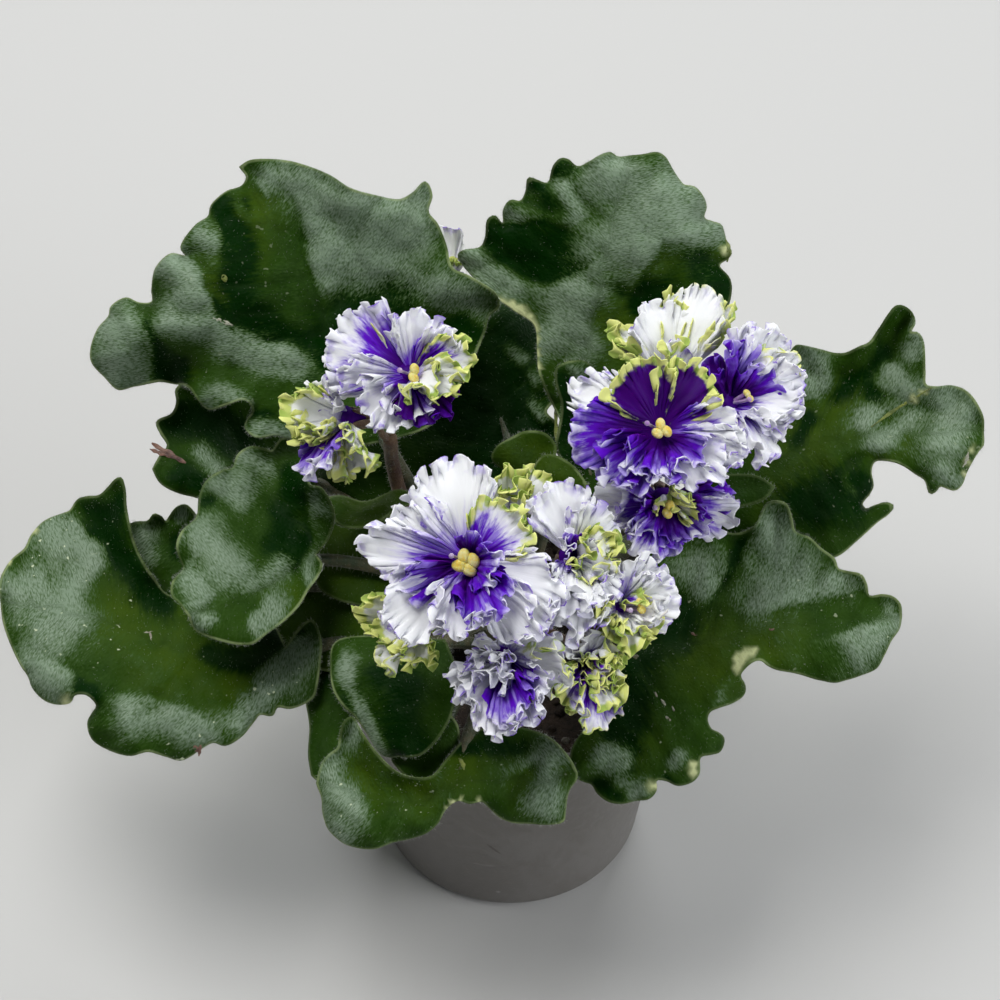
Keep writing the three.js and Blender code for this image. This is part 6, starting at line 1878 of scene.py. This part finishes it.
pollen = pollen_skin()
pistil_skin = stalk_skin("pistil_skin", *PISTIL_COLOURS)
for bloom_name, (sacs, radius, height) in ANTHERS.items():
    throat, axis = bloom_place(bloom_name)
    right, above = square_to(axis)
    ring = radius * (1.05 if sacs > 2 else 0.8)
    heap = Heap()
    for k in range(sacs):
        turn = 2 * math.pi * (k + 0.5) / sacs + 0.35
        away = right * math.cos(turn) + above * math.sin(turn)
        middle = throat + axis * (height + 0.4 * radius) + away * ring
        tip_way = above * math.cos(0.5 * k) + right * math.sin(0.5 * k)
        heap.add(*sac(middle, tip_way, np.cross(axis, tip_way), axis, radius))
        bend = throat + away * ring * 0.6 + axis * height * 0.4
        path = smooth_curve([throat - axis, bend, middle - axis * radius * 0.4], 6)
        heap.add(*tube(path, [FILAMENT_RADIUS] * len(path), FILAMENT_SIDES)[:2], 1)
    lean = right * 0.8 + above * 0.35
    path = smooth_curve([throat - axis, throat + axis * 2.5 + lean * 2.2,
                         throat + axis * (PISTIL_LENGTH - 2) + lean * 4.0,
                         throat + axis * PISTIL_LENGTH + lean * 4.6], 6)
    thickness = [PISTIL_RADIUS] * (len(path) - len(PISTIL_TIP)) + PISTIL_TIP
    heap.add(*tube(path, thickness, PISTIL_SIDES)[:2], 1)
    made = heap.made("anthers_" + bloom_name, [pollen, pistil_skin])
    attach(made, "root")
    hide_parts("anthers_" + bloom_name)

# ---- Flower stalks --------------------------------------------------------------------------
# Brown hairy stalks from the crown to a fork, where each divides into a thin footstalk for
# every bloom. A footstalk ends in a cup of five pointed sepals round the throat tube.

FLOWER_STALKS = {
    "front": {
        "way": [[511, 612, 84], [506, 600, 96], [508, 594, 108]],
        "carries": ["front_main", "front_left_low", "front_top", "front_right_top",
                    "front_bottom", "front_right_low", "front_right"]},
    "right": {
        "way": [[524, 613, 85], [576, 545, 97], [640, 470, 112], [662, 440, 124]],
        "carries": ["right_main", "right_top", "right_side", "right_low"]},
    "left": {
        "radius": 1.9,
        "way": [[501, 597, 84], [455, 552, 93.5], [405, 502, 99], [393, 465, 110], [390, 438, 124]],
        "carries": ["left_main", "left_low"]},
    "behind": {
        "way": [[505, 600, 87], [490, 545, 93], [470, 400, 96], [456, 330, 106]],
        "carries": ["behind"]},
}

FLOWER_STALK_RADIUS = 1.5
FOOTSTALK_RADIUS = 0.9
FOOTSTALK_SAG = 2.0
CALYX_DEPTH = 8.2
SEPALS = 5
SEPAL_LENGTH = 7.0
SEPAL_WIDTH = 2.4
SEPAL_ROWS = 12
SEPAL_COLUMNS = 7
SEPAL_HALF = 0.22
SEPAL_ROUNDING = 0.12
FLOWER_HAIR_LENGTHS = (0.5, 1.5)
STALK_COLOURS = ((0.075, 0.030, 0.022, 1), (0.17, 0.10, 0.045, 1))


def sepal(base, axis, away):
    """One pointed sepal that bows out and back to the tube."""
    u, w = np.meshgrid(np.linspace(0, 1, SEPAL_ROWS), np.linspace(-1, 1, SEPAL_COLUMNS), indexing="ij")
    half = SEPAL_WIDTH / 2 * (0.35 + 1.6 * u) * (1 - u ** 1.6) + 0.06
    side = np.cross(axis, away)
    rise = 1.1 + 1.7 * np.sin(1.5 * u) + 0.35 * (1 - w ** 2)
    points = (base + axis * (u * SEPAL_LENGTH)[..., None] + side * (w * half)[..., None]
              + away * rise[..., None]).reshape(-1, 3)
    triangles = turned_to(away, points, grid_triangles(SEPAL_ROWS, SEPAL_COLUMNS))
    return sheet_solid(points, triangles, SEPAL_HALF, SEPAL_ROUNDING)[:2]


stalk_brown = stalk_skin("flower_stalk_skin", *STALK_COLOURS)
for stalk_name, stalk in FLOWER_STALKS.items():
    chance = np.random.default_rng(len(stalk_name))
    way = evenly(smooth_curve(sighted(stalk["way"])), spacing=1.0)
    heading = way[-1] - way[-3]
    heading /= np.linalg.norm(heading)
    stems = [(way, stalk.get("radius", FLOWER_STALK_RADIUS))]
    sepals = []
    for bloom_name in stalk["carries"]:
        throat, axis = bloom_place(bloom_name)
        fork = way[-1] - heading
        back = throat - axis * 8.9
        bend = (fork + back) / 2
        bend[2] -= FOOTSTALK_SAG
        path = smooth_curve([fork, bend, back, throat - axis * 5.5])
        stems.append((evenly(path, spacing=0.8), FOOTSTALK_RADIUS))
        right, above = square_to(axis)
        for c, s in round_about(SEPALS, 0.3):
            sepals.append(sepal(throat - axis * CALYX_DEPTH, axis, right * c + above * s))
    heap = Heap()
    down = []
    for path, radius in stems:
        points, faces, outs = tube(path, [radius] * len(path), STEM_SIDES)
        heap.add(points, faces)
        count = int(len(path) * STALK_HAIRS)
        down.append(down_on(points, outs, count, FLOWER_HAIR_LENGTHS, chance))
    for points, faces in sepals:
        heap.add(points, faces)
    heap.add(*hairs(*zip(*down)), 1)
    made = heap.made("flower_stalk_" + stalk_name, [stalk_brown, leaf_down])
    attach(made, "root")
    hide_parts("flower_stalk_" + stalk_name)
